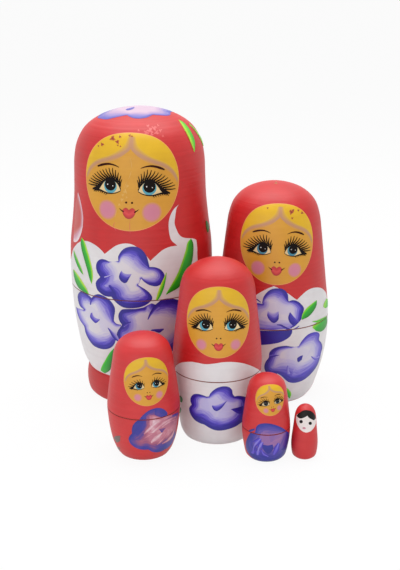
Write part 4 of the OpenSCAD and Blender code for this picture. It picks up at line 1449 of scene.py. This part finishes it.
# The smallest doll: a pale face under black hair, two eyes and a mouth, by pixels.
SMALL_FACE = (
    ((296, 417.3), (296.3, 421.5), (298.2, 426.5), (301.5, 430.6), (305.7, 432.5), (310, 431.6),
     (313.5, 428.2), (315.6, 424), (315.9, 419.8)),
    ((315.9, 419.8), (314.6, 414.6), (310.2, 411.4), (305.7, 410.7), (300.8, 412.2), (297, 414.6),
     (296, 417.3)),
)
SMALL_HAIR = (
    ((296.5, 415.9), (299.7, 418.4), (303.7, 417.8), (307.4, 415.7)),
    ((307.4, 415.7), (308.4, 417.2), (310.2, 418.6), (314.1, 420.4)),
    ((314.1, 420.4), (315.7, 417.3), (313.7, 413.3), (310.2, 410.8), (305.7, 410.1), (302.7, 410.8),
     (298.7, 413.3), (296.5, 415.9)),
)
SMALL_EYES = ((301.1, 421.6, 1.7), (310.2, 423.3, 1.6))
SMALL_MOUTH = (
    ((302.2, 428), (303.4, 427.1), (304.8, 427.2), (306, 428.2)),
    ((302.3, 428.3), (303.4, 429), (304.8, 429.1), (305.9, 428.5)),
)
lay(smallest, "pale", COATS["face"], fill_spots(smallest, outline(smallest, *SMALL_FACE)))
lay(smallest, "black", COATS["hair"], fill_spots(smallest, outline(smallest, *SMALL_HAIR)))
dab(smallest, "black", COATS["eye"], PUPIL_MESH, SMALL_EYES)
lay(smallest, "rose", COATS["lips"], brush(smallest, *SMALL_MOUTH))

for (doll, paint), films in paints.items():
    coat_with(skins[doll], paint, films)


# Stage, light and camera, in metres.
LAMPS = {
    "key": {"place": (-0.3, -1.1, 0.25), "aim": (0.0, 0.0, 0.07), "size": (1.2, 0.8), "power": 3.35},
    "top": {"place": (0.0, 0.12, 0.7), "aim": (0.0, 0.0, 0.1), "size": (0.7, 0.5), "power": 4.0},
}
SKY_LIGHT = 0.58
FLOOR_HALF, FLOOR_GLOW = 6.0, 0.92
FLOOR_COLOUR, WHITE = (0.9, 0.9, 0.9, 1.0), (1.0, 1.0, 1.0, 1.0)


def lamp(name, place, aim, size, power):
    """A soft rectangular lamp that looks at a point."""
    light = bpy.data.lights.new(name, "AREA")
    light.shape = "RECTANGLE"
    light.size, light.size_y = size
    light.energy = power
    holder = add(name, light)
    holder.location = place
    holder.rotation_euler = (Vector(aim) - Vector(place)).to_track_quat("-Z", "Y").to_euler()


def seen(tree):
    """One where the camera sees a surface, straight or in a reflection."""
    path = make(tree, "LightPath").outputs
    straight = calc(tree, "MAXIMUM", path["Is Camera Ray"], path["Is Glossy Ray"])
    return calc(tree, "MAXIMUM", straight, path["Is Transmission Ray"])


def backdrop():
    """A wide pale floor that keeps the dolls' shadow."""
    corners = [(x * FLOOR_HALF, y * FLOOR_HALF, 0.0) for x, y in ((-1, -1), (1, -1), (1, 1), (-1, 1))]
    mesh = bpy.data.meshes.new("floor")
    mesh.from_pydata(corners, [], [(0, 1, 2, 3)])
    material = bpy.data.materials.new("floor")
    material.use_nodes = True
    tree = material.node_tree
    tree.nodes.clear()
    matte = make(tree, "BsdfDiffuse", {"Color": FLOOR_COLOUR}).outputs[0]
    glow = make(tree, "Emission", {"Color": WHITE, "Strength": 1.0}).outputs[0]
    share = times(tree, seen(tree), FLOOR_GLOW)
    blend = make(tree, "MixShader", {0: share, 1: matte, 2: glow}).outputs[0]
    make(tree, "OutputMaterial", {"Surface": blend}, is_active_output=True)
    mesh.materials.append(material)
    add("floor", mesh)


def sky():
    """White all round for the camera and for reflections, and a plain soft light."""
    world = bpy.data.worlds.new("studio")
    bpy.context.scene.world = world
    world.use_nodes = True
    tree = world.node_tree
    tree.nodes.clear()
    light = {"Value": seen(tree), "To Min": SKY_LIGHT, "To Max": 1.0}
    strength = make(tree, "MapRange", light).outputs[0]
    ground = make(tree, "Background", {"Color": WHITE, "Strength": strength}).outputs[0]
    make(tree, "OutputWorld", {"Surface": ground})


def camera():
    """The photograph's camera."""
    lens = bpy.data.cameras.new("camera")
    lens.lens = FOCAL_PX * SENSOR_MM / PHOTO[1]
    lens.sensor_width = SENSOR_MM
    lens.clip_start = NEAREST
    holder = add("camera", lens)
    holder.location = EYE
    holder.rotation_euler = (math.pi / 2 - LOOK_DOWN, 0.0, 0.0)
    bpy.context.scene.camera = holder


backdrop()
sky()
for name, setting in LAMPS.items():
    lamp(name, **setting)
camera()
bpy.context.scene.view_settings.view_transform = "Standard"
